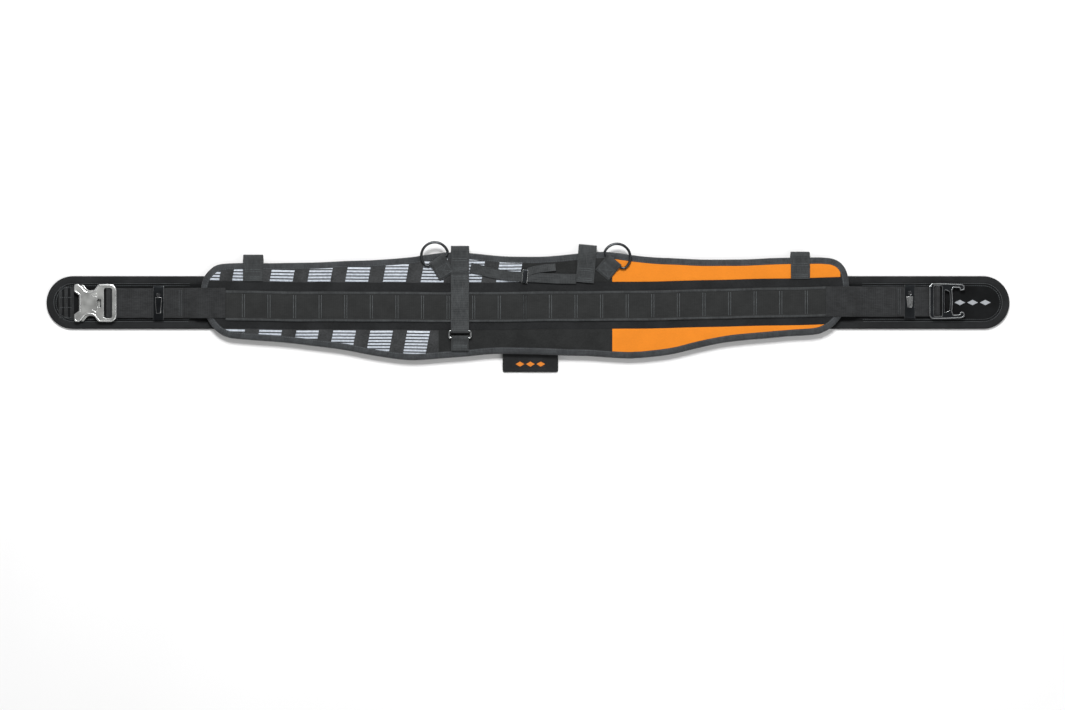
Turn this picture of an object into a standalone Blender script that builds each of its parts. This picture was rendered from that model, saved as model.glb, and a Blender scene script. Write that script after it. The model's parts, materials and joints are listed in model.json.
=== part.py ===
"""Padded work belt, laid open: liner, back pad, webbing, buckle halves, loops, rings and straps.

Frame: the liner's back face lies on z = 0, +X runs along the belt, +Y is the pad's top edge and
+Z points away from the wearer. Lengths are written in millimetres and scaled to metres on output.
"""
import math

import bmesh
import bpy
from mathutils import Vector

MM = 0.001
GAP = 0.3                     # clearance between neighbouring pieces
HALF_GAP = GAP / 2

# ---- liner ----
LINER_HALF_LENGTH = 719.6
LINER_HALF_WIDTH = 39.5
LINER_THICK = 6.0
END_STEPS = 14                # straight steps in each round end

# ---- places where the belt bends round the wearer ----
LEFT_TAIL_X = -492.0
LEFT_SEAM_X = -165.0
RIGHT_SEAM_X = 160.0
RIGHT_TAIL_X = 486.0
FAR = 2000.0                  # beyond everything

# ---- back pad and its binding ----
BINDING_THICK = 1.0
BINDING_BOTTOM = LINER_THICK + GAP
PAD_BOTTOM = BINDING_BOTTOM + BINDING_THICK + GAP
PAD_TOP = 16.3
BINDING_TOP = PAD_TOP + GAP + BINDING_THICK
BINDING_WIDTH = 10.0
PAD_OUTLINE = (
    (-488, 18), (-484, 36), (-474, 49), (-456, 57.5), (-400, 59), (-335, 59), (-262, 62), (-191, 66),
    (-150, 71), (-118, 75), (-79, 73), (-30, 68.5), (18, 68), (62, 71.5), (112, 76), (155, 70.5),
    (206, 66), (287, 64), (360, 65.8), (430, 67), (458, 64), (473, 51), (478.5, 30), (479, 8),
    (474, -10), (464, -26), (449, -40), (428, -47.5), (386, -51), (322, -57), (280, -62), (224, -75),
    (188, -81), (150, -84), (86, -80), (25, -78), (-39, -77), (-84, -80), (-150, -85), (-185, -85.5),
    (-225, -80.5), (-270, -72), (-325, -64), (-385, -58), (-437, -54.5), (-462, -45), (-478, -26),
    (-486, -4),
)
SPLINE_STEPS = 2              # points made from each stretch of the outline

# ---- face panels ----
PANEL_BOTTOM = PAD_TOP + GAP
PANEL_TOP = PANEL_BOTTOM + 0.8
PANEL_INSET = BINDING_WIDTH + 3 * GAP
PANEL_STEP = 14.0             # spacing of a panel's edge points along the belt
BAND_UP = 35.8                # black band's edges, from the webbing row's centre line
BAND_DOWN = -34.0
CENTRE_PANEL_LEFT = -133.0
CENTRE_PANEL_RIGHT = 125.6

# ---- equipment webbing row ----
ROW_BOTTOM = PANEL_TOP + GAP
ROW_TOP = 21.0
ROW_HALF_WIDTH = 22.5
ROW_LEFT = -450.3
ROW_RIGHT = 443.0
ROW_RISE = -6.6               # the row bows gently: y = rise + slope x + curve x^2
ROW_SLOPE = 0.0069
ROW_CURVE = 2.57e-5

# ---- belt webbing ----
WEB_HALF_WIDTH = 22.5
WEB_THICK = 1.5
WEB_LOW = 7.9                 # underside of the webbing over the liner
WEB_ON_PAD = BINDING_TOP + GAP
FOLD_LOW = WEB_LOW + WEB_THICK + GAP
FOLD_TOP = FOLD_LOW + WEB_THICK
LEFT_FOLD_END = -515.0
RIGHT_FOLD_END = 550.0
RAMP_START = 2.5              # ramp down from the pad: starts this far outside the pad's end
RAMP_FOOT = 15.0              # and lands this far outside it
LEFT_PAD_END = -488.0
RIGHT_PAD_END = 479.0

# ---- buckle halves ----
LEFT_BUCKLE_HINGE_X = -611.0
RIGHT_BUCKLE_HINGE_X = 597.0
LEFT_BUCKLE_Y = -0.9
RIGHT_BUCKLE_Y = 2.0
LEFT_BAR_X = -626.0
RIGHT_BAR_X = 611.0
BAR_RADIUS = 2.25
BAR_HALF_LENGTH = 24.5
BAR_Z = 11.2
ROLL_THICK = 1.5
BASE_Z = (6.5, 8.7)
LEVER_Z = (9.0, 13.4)
PLATE_Z = (13.7, 16.2)
POST_RADIUS = 2.2
POST_SEAT = 1.2               # depth of a post's blind seat in the top plate
ARM_POST = (-672.3, 22.5)     # buckle posts, from the belt's centre line
PIVOT_POST = (-645.0, 14.5)   # the release levers' pivots

# ---- keepers ----
LEFT_KEEPER = (-551.2, -1.0)
RIGHT_KEEPER = (569.3, 1.2)
KEEPER_LENGTH = 15.6
KEEPER_INNER_HALF = 24.3
KEEPER_WALL = 1.2
KEEPER_HOLE = (12.5, 2.6)     # distance from the centre line, radius

# ---- rings and straps ----
RING_WIRE = 2.0
RING_RADIUS = 20.0
RING_CHORD = 8.0              # from the ring's centre to its bar
RING_Z = 21.6
LEFT_RING = (-134.65, 62.55, 31.4)      # middle of the bar and its angle
RIGHT_RING = (127.25, 60.95, -40.0)
TAB_WIDTH = 26.0
LEFT_TAB_LEAF = 28.0
RIGHT_TAB_LEAF = 26.5
WRAP = 1.4                    # thickness of webbing wrapped round a wire
STRAP_X = -101.3
STRAP_WIDTH = 27.2
STRAP_RING_Z = 22.4
STRAP_RING_TOP_Y = -42.5
STRAP_RING_LOW_Y = -53.0
STRAP_RING_HALF = 16.1
STRAP_RING_WIRE = 1.75
FLAP_TOP_Y = 41.0
CROSS_POINTS = ((-85.8, 50.4), (-4.8, 38.5), (71.6, 35.6))
CROSS_HALF_WIDTH = 7.4
CROSS_Z = (19.8, 20.7)
SLIDER_X = -4.5
SLIDER_HALF_LENGTH = 4.0
SLIDER_HALF_WIDTH = 10.2
SLIDER_Z = (18.8, 22.2)
SLIDER_SLOT_HALF = 8.4
TAIL_END = (41.0, 53.0)
TAIL_HALF_WIDTH = 5.6

COLOURS = {
    "liner": (0.014, 0.015, 0.016), "pad": (0.02, 0.02, 0.021), "binding": (0.033, 0.036, 0.04),
    "panel": (0.02, 0.021, 0.022), "reflective": (0.16, 0.17, 0.18), "orange": (0.93, 0.29, 0.03),
    "webbing": (0.03, 0.031, 0.032), "steel": (0.47, 0.47, 0.46), "dark_steel": (0.05, 0.05, 0.052),
    "tag": (0.012, 0.012, 0.012),
}
METALS = ("steel", "dark_steel")


# ------------------------------------------------------------------ general shapes
def clear_scene():
    for obj in list(bpy.data.objects):
        bpy.data.objects.remove(obj, do_unlink=True)


def material(slot):
    if slot in bpy.data.materials:
        return bpy.data.materials[slot]
    made = bpy.data.materials.new(slot)
    made.use_nodes = True
    shader = made.node_tree.nodes["Principled BSDF"]
    shader.inputs["Base Color"].default_value = (*COLOURS[slot], 1.0)
    shader.inputs["Metallic"].default_value = 1.0 if slot in METALS else 0.0
    shader.inputs["Roughness"].default_value = 0.35 if slot in METALS else 0.85
    return made


def add_object(name, bm, slot, origin=(0, 0, 0), turn=0.0):
    """Make a named object from a bmesh in millimetres, with its origin on its own axis."""
    bmesh.ops.remove_doubles(bm, verts=bm.verts, dist=0.001)
    bmesh.ops.recalc_face_normals(bm, faces=bm.faces)
    bmesh.ops.scale(bm, vec=(MM, MM, MM), verts=bm.verts)
    mesh = bpy.data.meshes.new(name)
    bm.to_mesh(mesh)
    bm.free()
    obj = bpy.data.objects.new(name, mesh)
    obj.location = Vector(origin) * MM
    obj.rotation_euler[2] = math.radians(turn)
    mesh.materials.append(material(slot))
    bpy.context.scene.collection.objects.link(obj)
    return obj


def placed(point, level, axis):
    """A 2-D outline point set into space: the outline's plane faces the given axis."""
    a, b = point
    return {"X": (level, a, b), "Y": (a, level, b), "Z": (a, b, level)}[axis]


def prism(name, outline, low, high, slot, axis="Z", holes=(), origin=(0, 0, 0), turn=0.0):
    """A plate of the given outline, with any holes, between two levels along an axis."""
    bm = bmesh.new()
    edges = []
    for loop in (outline, *holes):
        corners = [bm.verts.new(placed(point, low, axis)) for point in loop]
        for i, corner in enumerate(corners):
            edges.append(bm.edges.new((corner, corners[(i + 1) % len(corners)])))
    bmesh.ops.triangle_fill(bm, edges=edges, use_beauty=True, use_dissolve=False)
    raised = bmesh.ops.extrude_face_region(bm, geom=bm.faces[:])
    moved = [item for item in raised["geom"] if isinstance(item, bmesh.types.BMVert)]
    shift = Vector(placed((0, 0), high - low, axis))
    bmesh.ops.translate(bm, verts=moved, vec=shift)
    return add_object(name, bm, slot, origin, turn)


def swept(name, sections, slot, closed=False, origin=(0, 0, 0), turn=0.0):
    """A solid through a row of matching closed sections, capped unless the row closes on itself."""
    bm = bmesh.new()
    rows = [[bm.verts.new(point) for point in section] for section in sections]
    count = len(rows[0])
    pairs = list(zip(rows, rows[1:]))
    if closed:
        pairs.append((rows[-1], rows[0]))
    for first, second in pairs:
        for i in range(count):
            j = (i + 1) % count
            bm.faces.new((first[i], first[j], second[j], second[i]))
    if not closed:
        bm.faces.new(rows[0])
        bm.faces.new(rows[-1])
        bmesh.ops.triangulate(bm, faces=[face for face in bm.faces if len(face.verts) > 4])
    return add_object(name, bm, slot, origin, turn)


def arc(centre, radius, start, end, steps):
    """Points on an arc, from the start angle to the end angle in degrees."""
    points = []
    for i in range(steps + 1):
        angle = math.radians(start + (end - start) * i / steps)
        points.append((centre[0] + radius * math.cos(angle), centre[1] + radius * math.sin(angle)))
    return points


def circle(centre, radius, sides):
    return arc(centre, radius, 0, 360, sides)[:-1]


def box_outline(x0, x1, y0, y1):
    return [(x0, y0), (x1, y0), (x1, y1), (x0, y1)]


def rounded(points, radius, steps=3):
    """Round every corner of an outline with a small arc-like curve."""
    out = []
    count = len(points)
    for i, corner in enumerate(points):
        here = Vector(corner)
        before = (Vector(points[i - 1]) - here)
        after = (Vector(points[(i + 1) % count]) - here)
        reach = min(radius, before.length * 0.45, after.length * 0.45)
        start = here + before.normalized() * reach
        end = here + after.normalized() * reach
        for k in range(steps + 1):
            t = k / steps
            out.append(tuple(start * (1 - t) ** 2 + here * 2 * t * (1 - t) + end * t ** 2))
    return out


def ribbon(centre_line, thick):
    """Closed side outline of a strap of constant thickness along an open centre line."""
    left, right = [], []
    count = len(centre_line)
    for i, point in enumerate(centre_line):
        before = Vector(centre_line[max(i - 1, 0)])
        after = Vector(centre_line[min(i + 1, count - 1)])
        along = (after - before).normalized()
        across = Vector((-along[1], along[0])) * thick / 2
        left.append(tuple(Vector(point) + across))
        right.append(tuple(Vector(point) - across))
    return left + right[::-1]


def wrapped_loop(name, bar, width, outer, inner, leaf, slot, origin=(0, 0, 0), turn=0.0, axis="X"):
    """Webbing rolled round a wire: a sleeve with a bore, and a flat leaf that runs away from it.

    bar is the wire's place in the outline's plane; leaf is (end, low, high) measured from the bar.
    """
    end, low, high = leaf
    start = math.degrees(math.asin(max(-1.0, low / outer)))
    stop = math.degrees(math.asin(high / outer))
    if end < 0:
        sleeve = arc(bar, outer, 180 - stop, 180 - start - 360, 14)
    else:
        sleeve = arc(bar, outer, stop, 360 + start, 14)
    outline = sleeve + [(bar[0] + end, bar[1] + low), (bar[0] + end, bar[1] + high)]
    half = width / 2
    return prism(name, outline, -half, half, slot, axis, [circle(bar, inner, 12)], origin, turn)


def wire_loop(name, path, wire, slot, sides=8, origin=(0, 0, 0), turn=0.0):
    """A round wire along a closed flat path."""
    sections = []
    count = len(path)
    for i, point in enumerate(path):
        along = (Vector(path[(i + 1) % count]) - Vector(path[i - 1])).normalized()
        across = Vector((along[1], -along[0]))
        section = []
        for k in range(sides):
            angle = 2 * math.pi * k / sides
            offset = across * wire * math.cos(angle)
            section.append((point[0] + offset[0], point[1] + offset[1], wire * math.sin(angle)))
        sections.append(section)
    return swept(name, sections, slot, True, origin, turn)


# ------------------------------------------------------------------ outlines of the belt
def smooth_outline(points, steps):
    """A closed curve through the given points (Catmull-Rom)."""
    out = []
    count = len(points)
    for i in range(count):
        p0, p1, p2, p3 = (Vector(points[(i + k) % count]) for k in (-1, 0, 1, 2))
        for k in range(steps):
            t = k / steps
            point = 0.5 * (2 * p1 + (p2 - p0) * t + (2 * p0 - 5 * p1 + 4 * p2 - p3) * t ** 2
                           + (3 * p1 - p0 - 3 * p2 + p3) * t ** 3)
            out.append(tuple(point))
    return out


def inset(points, distance):
    """A clockwise closed outline moved inwards."""
    out = []
    count = len(points)
    for i, point in enumerate(points):
        along = (Vector(points[(i + 1) % count]) - Vector(points[i - 1])).normalized()
        out.append(tuple(Vector(point) + Vector((along[1], -along[0])) * distance))
    return out


def cut_between(points, low_x, high_x):
    """The part of a closed outline between two planes of constant x."""
    for limit, keep_above in ((low_x, True), (high_x, False)):
        kept = []
        count = len(points)
        for i, here in enumerate(points):
            after = points[(i + 1) % count]
            inside = (here[0] >= limit) == keep_above
            inside_after = (after[0] >= limit) == keep_above
            if inside:
                kept.append(here)
            if inside != inside_after:
                t = (limit - here[0]) / (after[0] - here[0])
                kept.append((limit, here[1] + (after[1] - here[1]) * t))
        points = kept
    return points


def y_span(points, x):
    """Lowest and highest y of a closed outline at x, or None outside it."""
    hits = []
    count = len(points)
    for i, here in enumerate(points):
        after = points[(i + 1) % count]
        if (here[0] - x) * (after[0] - x) <= 0 and here[0] != after[0]:
            hits.append(here[1] + (after[1] - here[1]) * (x - here[0]) / (after[0] - here[0]))
    return (min(hits), max(hits)) if hits else None


def row_y(x):
    return ROW_RISE + ROW_SLOPE * x + ROW_CURVE * x * x


def steps_between(low, high, step):
    count = max(1, round((high - low) / step))
    return [low + (high - low) * i / count for i in range(count + 1)]


PAD_EDGE = smooth_outline(PAD_OUTLINE, SPLINE_STEPS)
PANEL_EDGE = inset(PAD_EDGE, PANEL_INSET)
SECTIONS = {
    "left": (-FAR, LEFT_SEAM_X - HALF_GAP),
    "centre": (LEFT_SEAM_X + HALF_GAP, RIGHT_SEAM_X - HALF_GAP),
    "right": (RIGHT_SEAM_X + HALF_GAP, FAR),
}


# ------------------------------------------------------------------ padded layers
def build_liner():
    straight = LINER_HALF_LENGTH - LINER_HALF_WIDTH
    outline = arc((straight, 0), LINER_HALF_WIDTH, 90, -90, END_STEPS)
    outline += arc((-straight, 0), LINER_HALF_WIDTH, -90, -270, END_STEPS)
    cuts = (-FAR, LEFT_TAIL_X, LEFT_SEAM_X, RIGHT_SEAM_X, RIGHT_TAIL_X, FAR)
    names = ("liner_left_end", "liner_left", "liner_centre", "liner_right", "liner_right_end")
    for name, low, high in zip(names, cuts, cuts[1:]):
        piece = cut_between(outline, low + HALF_GAP, high - HALF_GAP)
        prism(name, piece, 0, LINER_THICK, "liner")


def build_pad():
    core = inset(PAD_EDGE, BINDING_THICK + 2 * GAP)
    for side, (low, high) in SECTIONS.items():
        prism("pad_" + side, cut_between(core, low, high), PAD_BOTTOM, PAD_TOP, "pad")


def edge_runs(low, high):
    """The open runs of the pad's edge between two x planes, in the outline's own order."""
    piece = cut_between(PAD_EDGE, low, high)
    count = len(piece)
    starts = [i for i in range(count) if abs(piece[i][0] - piece[i - 1][0]) < 1e-6]
    runs = []
    for start, stop in zip(starts, starts[1:] + [starts[0] + count]):
        runs.append([piece[k % count] for k in range(start, stop)])
    return runs


def binding(name, run):
    """Folded tape over the pad's edge: a U-shaped section along an open run of the outline."""
    wall = BINDING_THICK
    profile = [(BINDING_WIDTH, BINDING_TOP), (0, BINDING_TOP), (0, BINDING_BOTTOM),
               (BINDING_WIDTH, BINDING_BOTTOM), (BINDING_WIDTH, BINDING_BOTTOM + wall),
               (wall, BINDING_BOTTOM + wall), (wall, BINDING_TOP - wall),
               (BINDING_WIDTH, BINDING_TOP - wall)]
    sections = []
    for i, point in enumerate(run):
        along = (Vector(run[min(i + 1, len(run) - 1)]) - Vector(run[max(i - 1, 0)])).normalized()
        inward = Vector((along[1], -along[0]))
        if i in (0, len(run) - 1):
            inward = Vector((0, 1 / inward[1]))
        sections.append([(point[0] + inward[0] * d, point[1] + inward[1] * d, z) for d, z in profile])
    return swept(name, sections, "binding")


def build_bindings():
    for side, limits in SECTIONS.items():
        for run in edge_runs(*limits):
            where = "" if side != "centre" else "_top" if run[0][1] > 0 else "_bottom"
            binding("binding_" + side + where, run)


def panel(name, x_range, bounds, slot):
    """A thin face panel whose lower and upper edges are given for each x."""
    lower, upper = [], []
    for x in steps_between(x_range[0] + HALF_GAP, x_range[1] - HALF_GAP, PANEL_STEP):
        low, high = bounds(x)
        lower.append((x, low))
        upper.append((x, high))
    prism(name, lower + upper[::-1], PANEL_BOTTOM, PANEL_TOP, slot)


def above_band(x):
    return row_y(x) + BAND_UP + HALF_GAP, y_span(PANEL_EDGE, x)[1]


def below_band(x):
    return y_span(PANEL_EDGE, x)[0], row_y(x) + BAND_DOWN - HALF_GAP


def in_band(x):
    low, high = y_span(PANEL_EDGE, x)
    return max(low, row_y(x) + BAND_DOWN + HALF_GAP), min(high, row_y(x) + BAND_UP - HALF_GAP)


def build_panels():
    seams = LEFT_SEAM_X, RIGHT_SEAM_X
    panel("reflective_upper_left", (-469, seams[0]), above_band, "reflective")
    panel("reflective_upper_centre", (seams[0], CENTRE_PANEL_LEFT), above_band, "reflective")
    panel("reflective_lower_left", (-446, seams[0]), below_band, "reflective")
    panel("reflective_lower_centre", (seams[0], CENTRE_PANEL_LEFT), below_band, "reflective")
    panel("orange_upper_centre", (CENTRE_PANEL_RIGHT, seams[1]), above_band, "orange")
    panel("orange_upper_right", (seams[1], 462), above_band, "orange")
    panel("orange_lower_centre", (CENTRE_PANEL_RIGHT, seams[1]), below_band, "orange")
    panel("orange_lower_right", (seams[1], 430), below_band, "orange")
    panel("band_left", (-475, seams[0]), in_band, "panel")
    panel("band_right", (seams[1], 467), in_band, "panel")
    build_centre_panel()


def build_centre_panel():
    """The black centre panel, full height between its seams and band height beyond them."""
    lower, upper = [], []
    zones = ((LEFT_SEAM_X, CENTRE_PANEL_LEFT, in_band),
             (CENTRE_PANEL_LEFT, CENTRE_PANEL_RIGHT, lambda x: y_span(PANEL_EDGE, x)),
             (CENTRE_PANEL_RIGHT, RIGHT_SEAM_X, in_band))
    for low_x, high_x, bounds in zones:
        inner = bounds is not in_band
        start = low_x + HALF_GAP if inner or low_x == LEFT_SEAM_X else low_x - HALF_GAP
        end = high_x - HALF_GAP if inner or high_x == RIGHT_SEAM_X else high_x + HALF_GAP
        for x in steps_between(start, end, PANEL_STEP):
            low, high = bounds(x)
            lower.append((x, low))
            upper.append((x, high))
    prism("panel_centre", lower + upper[::-1], PANEL_BOTTOM, PANEL_TOP, "panel")


def build_row():
    ends = {"left": (ROW_LEFT, SECTIONS["left"][1]), "centre": SECTIONS["centre"],
            "right": (SECTIONS["right"][0], ROW_RIGHT)}
    for side, (low, high) in ends.items():
        xs = steps_between(low, high, 40.0)
        outline = [(x, row_y(x) - ROW_HALF_WIDTH) for x in xs]
        outline += [(x, row_y(x) + ROW_HALF_WIDTH) for x in reversed(xs)]
        prism("equipment_webbing_" + side, outline, ROW_BOTTOM, ROW_TOP, "webbing")


# ------------------------------------------------------------------ belt webbing and keepers
def build_side_webbing(side, sign, row_end, pad_end, hinge_x, fold_end, buckle_x, centre_y):
    """Inner run on the pad, outer run on the liner and the folded layer on top of it."""
    half = WEB_THICK / 2
    high, low = WEB_ON_PAD + half, WEB_LOW + half
    top_x, foot_x = pad_end + sign * RAMP_START, pad_end + sign * RAMP_FOOT
    hinge_z = high + (low - high) * (hinge_x - top_x) / (foot_x - top_x)
    inner = [(row_end + sign * GAP, high), (top_x, high), (hinge_x - sign * HALF_GAP, hinge_z)]
    outer = [(hinge_x + sign * HALF_GAP, hinge_z), (foot_x, low), (buckle_x - sign * HALF_GAP, low)]
    fold = box_outline(fold_end, buckle_x - sign * HALF_GAP, FOLD_LOW, FOLD_TOP)
    y0, y1 = centre_y - WEB_HALF_WIDTH, centre_y + WEB_HALF_WIDTH
    prism("webbing_inner_" + side, ribbon(inner, WEB_THICK), y0, y1, "webbing", "Y")
    prism("webbing_outer_" + side, ribbon(outer, WEB_THICK), y0, y1, "webbing", "Y")
    prism("webbing_fold_" + side, fold, y0, y1, "webbing", "Y")


def bore(body, name, place, radius, low, high, operation="DIFFERENCE"):
    """A round hole cut into a body, or a round post joined to it, by a modifier."""
    tool = prism(f"{body.name}_{name}", circle(place, radius, 12), low, high, "steel")
    tool.hide_render = True
    tool.display_type = "WIRE"
    change = body.modifiers.new(name, "BOOLEAN")
    change.object = tool
    change.operation = operation


def build_keeper(side, place):
    """Formed metal clip round the webbing: a flat tube with a hole in its face."""
    x, y = place
    low, high = WEB_LOW - GAP - KEEPER_WALL, FOLD_TOP + GAP + KEEPER_WALL
    outer_half = KEEPER_INNER_HALF + KEEPER_WALL
    outer = rounded(box_outline(-outer_half, outer_half, low, high), 2.0)
    inner = rounded(box_outline(-KEEPER_INNER_HALF, KEEPER_INNER_HALF, low + KEEPER_WALL,
                                high - KEEPER_WALL), 1.0, 1)
    half = KEEPER_LENGTH / 2
    body = prism("keeper_" + side, outer, -half, half, "steel", "X", [inner], (x, y, 0))
    bore(body, "face_hole", (x, y + KEEPER_HOLE[0]), KEEPER_HOLE[1], high - 2 * KEEPER_WALL,
         high + KEEPER_WALL)


# ------------------------------------------------------------------ female buckle
def mirrored(half_outline):
    """A closed outline from its upper half, which starts and ends on the centre line."""
    return half_outline + [(x, -y) for x, y in reversed(half_outline) if y > 0]


def build_female_buckle():
    top_half = [(-669, 0), (-669, 11.5), (-676.3, 17), (-676.3, 26), (-674.5, 28), (-669.5, 28),
                (-666.8, 26.2), (-660, 18.4), (-656.5, 17), (-649.5, 17.6), (-646, 20),
                (-641.5, 26.2), (-639, 28), (-622, 28), (-617.3, 26.3), (-614.3, 22.6),
                (-613.3, 18.5), (-613.3, 0)]
    base_half = [(-667.5, 0), (-667.5, 12), (-675.3, 18), (-675.3, 26.3), (-669, 27), (-660.5, 17.5),
                 (-656, 16), (-647, 17), (-640.5, 20), (-636.5, 20), (-636.5, 0)]
    centre = (0, LEFT_BUCKLE_Y, 0)
    posts = [(x, LEFT_BUCKLE_Y + s * y) for x, y in (ARM_POST, PIVOT_POST) for s in (1, -1)]
    window = rounded(box_outline(-632, -620, -22.4, 22.4), 3.0, 2)
    slot = rounded(box_outline(-642, -636.5, -6.0, 6.0), 1.5, 2)
    top = prism("buckle_top_plate", mirrored(top_half), *PLATE_Z, "steel", holes=[window, slot],
                origin=centre)
    base = prism("buckle_base_plate", mirrored(base_half), *BASE_Z, "steel", origin=centre)
    seat = PLATE_Z[0] + POST_SEAT
    for i, post in enumerate(posts):
        bore(base, f"post_{i}", post, POST_RADIUS, BASE_Z[0] + 0.5, seat - GAP, "UNION")
        bore(top, f"seat_{i}", post, POST_RADIUS + HALF_GAP, PLATE_Z[0] - 1, seat)
    for side, sign in (("upper", 1), ("lower", -1)):
        build_lever(side, sign)
    build_lever_spring(centre)
    build_adjuster("left", LEFT_BAR_X, LEFT_BUCKLE_Y, LEFT_BUCKLE_HINGE_X - HALF_GAP)


def build_lever(side, sign):
    """Release lever: turns on its post, with a finger pad beside the plate's arm."""
    px, py = PIVOT_POST
    shape = [(-19.5, -3.4), (-20, 3), (-21.8, 9.5), (-20.8, 12.6), (-18.6, 12.9), (-12.4, 5.6),
             (-8.5, 4.3), (-3, 5), (3.6, 5), (5.2, 1.5), (4.8, -3.6), (-4, -5), (-10, -4.6)]
    outline = [(x, sign * y) for x, y in shape]
    prism("release_lever_" + side, outline, *LEVER_Z, "steel",
          holes=[circle((0, 0), POST_RADIUS + GAP, 12)], origin=(px, LEFT_BUCKLE_Y + sign * py, 0))


def build_lever_spring(centre):
    """Leaf spring between the two levers' heels, seated against the base plate's end."""
    leaf = [(-643.8, 8.2), (-640.0, 7.4), (-638.0, 4.0), (-637.6, 0), (-638.0, -4.0),
            (-640.0, -7.4), (-643.8, -8.2)]
    prism("lever_spring", ribbon(leaf, 0.8), LEVER_Z[0] + 0.4, LEVER_Z[1] - 0.4, "steel",
          origin=centre)


def build_adjuster(side, bar_x, centre_y, end_x):
    """Bar that the belt webbing rolls round inside a buckle half."""
    prism("adjuster_bar_" + side, circle((bar_x, BAR_Z), BAR_RADIUS, 12), centre_y - BAR_HALF_LENGTH,
          centre_y + BAR_HALF_LENGTH, "dark_steel", "Y")
    inner = BAR_RADIUS + GAP
    leaf = (end_x - bar_x, WEB_LOW - BAR_Z, FOLD_TOP - BAR_Z)
    wrapped_loop("webbing_roll_" + side, (bar_x, BAR_Z), 2 * WEB_HALF_WIDTH - 1.0,
                 inner + ROLL_THICK, inner, leaf, "webbing", origin=(0, centre_y, 0), axis="Y")


# ------------------------------------------------------------------ male buckle
def build_male_buckle():
    """Frame with a webbing window, a curved front loop and two hooked prongs."""
    half = [(598, 0), (598, 22), (602, 26.5), (622, 26.5), (626, 26.2), (646.5, 25.4), (650, 23.5),
            (651, 20), (650, 16.4), (646, 15.6), (643.5, 16.6), (643.6, 19.6), (634, 20.2),
            (632.4, 16), (633, 9), (633.4, 0)]
    window = rounded(box_outline(604.8, 617.2, -22.5, 22.5), 2.0, 2)
    front = rounded([(621, -17), (628.2, -14), (629.2, 0), (628.2, 14), (621, 17)], 2.0, 2)
    prism("buckle_prong_frame", mirrored(half), *PLATE_Z, "dark_steel", holes=[window, front],
          origin=(0, RIGHT_BUCKLE_Y, 0))
    build_adjuster("right", RIGHT_BAR_X, RIGHT_BUCKLE_Y, RIGHT_BUCKLE_HINGE_X + HALF_GAP)


# ------------------------------------------------------------------ loops, rings and straps
def build_top_loop(number, x0, x1, top_y, leaf_low_y, leaf_z, tilt=0.0):
    """Suspender loop: sewn on the face, out over the pad's edge and back behind it."""
    mid = (x0 + x1) / 2
    edge_y = y_span(PAD_EDGE, mid)[1]
    turn_y = top_y - 4.5
    face = leaf_z + WRAP / 2
    back = BINDING_BOTTOM - GAP - WRAP / 2
    middle = (face + back) / 2
    reach = 3.8
    centre_line = [(leaf_low_y, face), (edge_y + 3.0, face), (turn_y, middle + reach)]
    centre_line += arc((turn_y, middle), reach, 60, -60, 4)
    centre_line += [(turn_y, middle - reach), (edge_y + 3.0, back), (edge_y - 18, back)]
    half = (x1 - x0) / 2
    profile = [(y - edge_y, z) for y, z in ribbon(centre_line, WRAP)]
    prism(f"suspender_loop_{number}", profile, -half, half, "webbing", "X",
          origin=(mid, edge_y, 0), turn=tilt)


def d_ring_path():
    """Centre line of a D-ring: a round bow closed by a straight bar along x at y = 0."""
    half_bar = math.sqrt(RING_RADIUS ** 2 - RING_CHORD ** 2)
    low = math.degrees(math.asin(RING_CHORD / RING_RADIUS))
    bow = arc((0, RING_CHORD), RING_RADIUS, -low + 9, 180 + low - 9, 22)
    corner = 2.4
    bar = [(-half_bar + corner, 0), (0, 0), (half_bar - corner, 0)]
    return bow + bar


def build_d_ring(side, ring, leaf):
    x, y, angle = ring
    wire_loop("d_ring_" + side, d_ring_path(), RING_WIRE, "dark_steel" if side == "left" else "steel",
              origin=(x, y, RING_Z), turn=angle)
    inner = RING_WIRE + GAP
    outer = inner + WRAP
    wrapped_loop("d_ring_tab_" + side, (0, 0), TAB_WIDTH, outer, inner, (-leaf, -outer, -inner),
                 "webbing", origin=(x, y, RING_Z), turn=angle)


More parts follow.
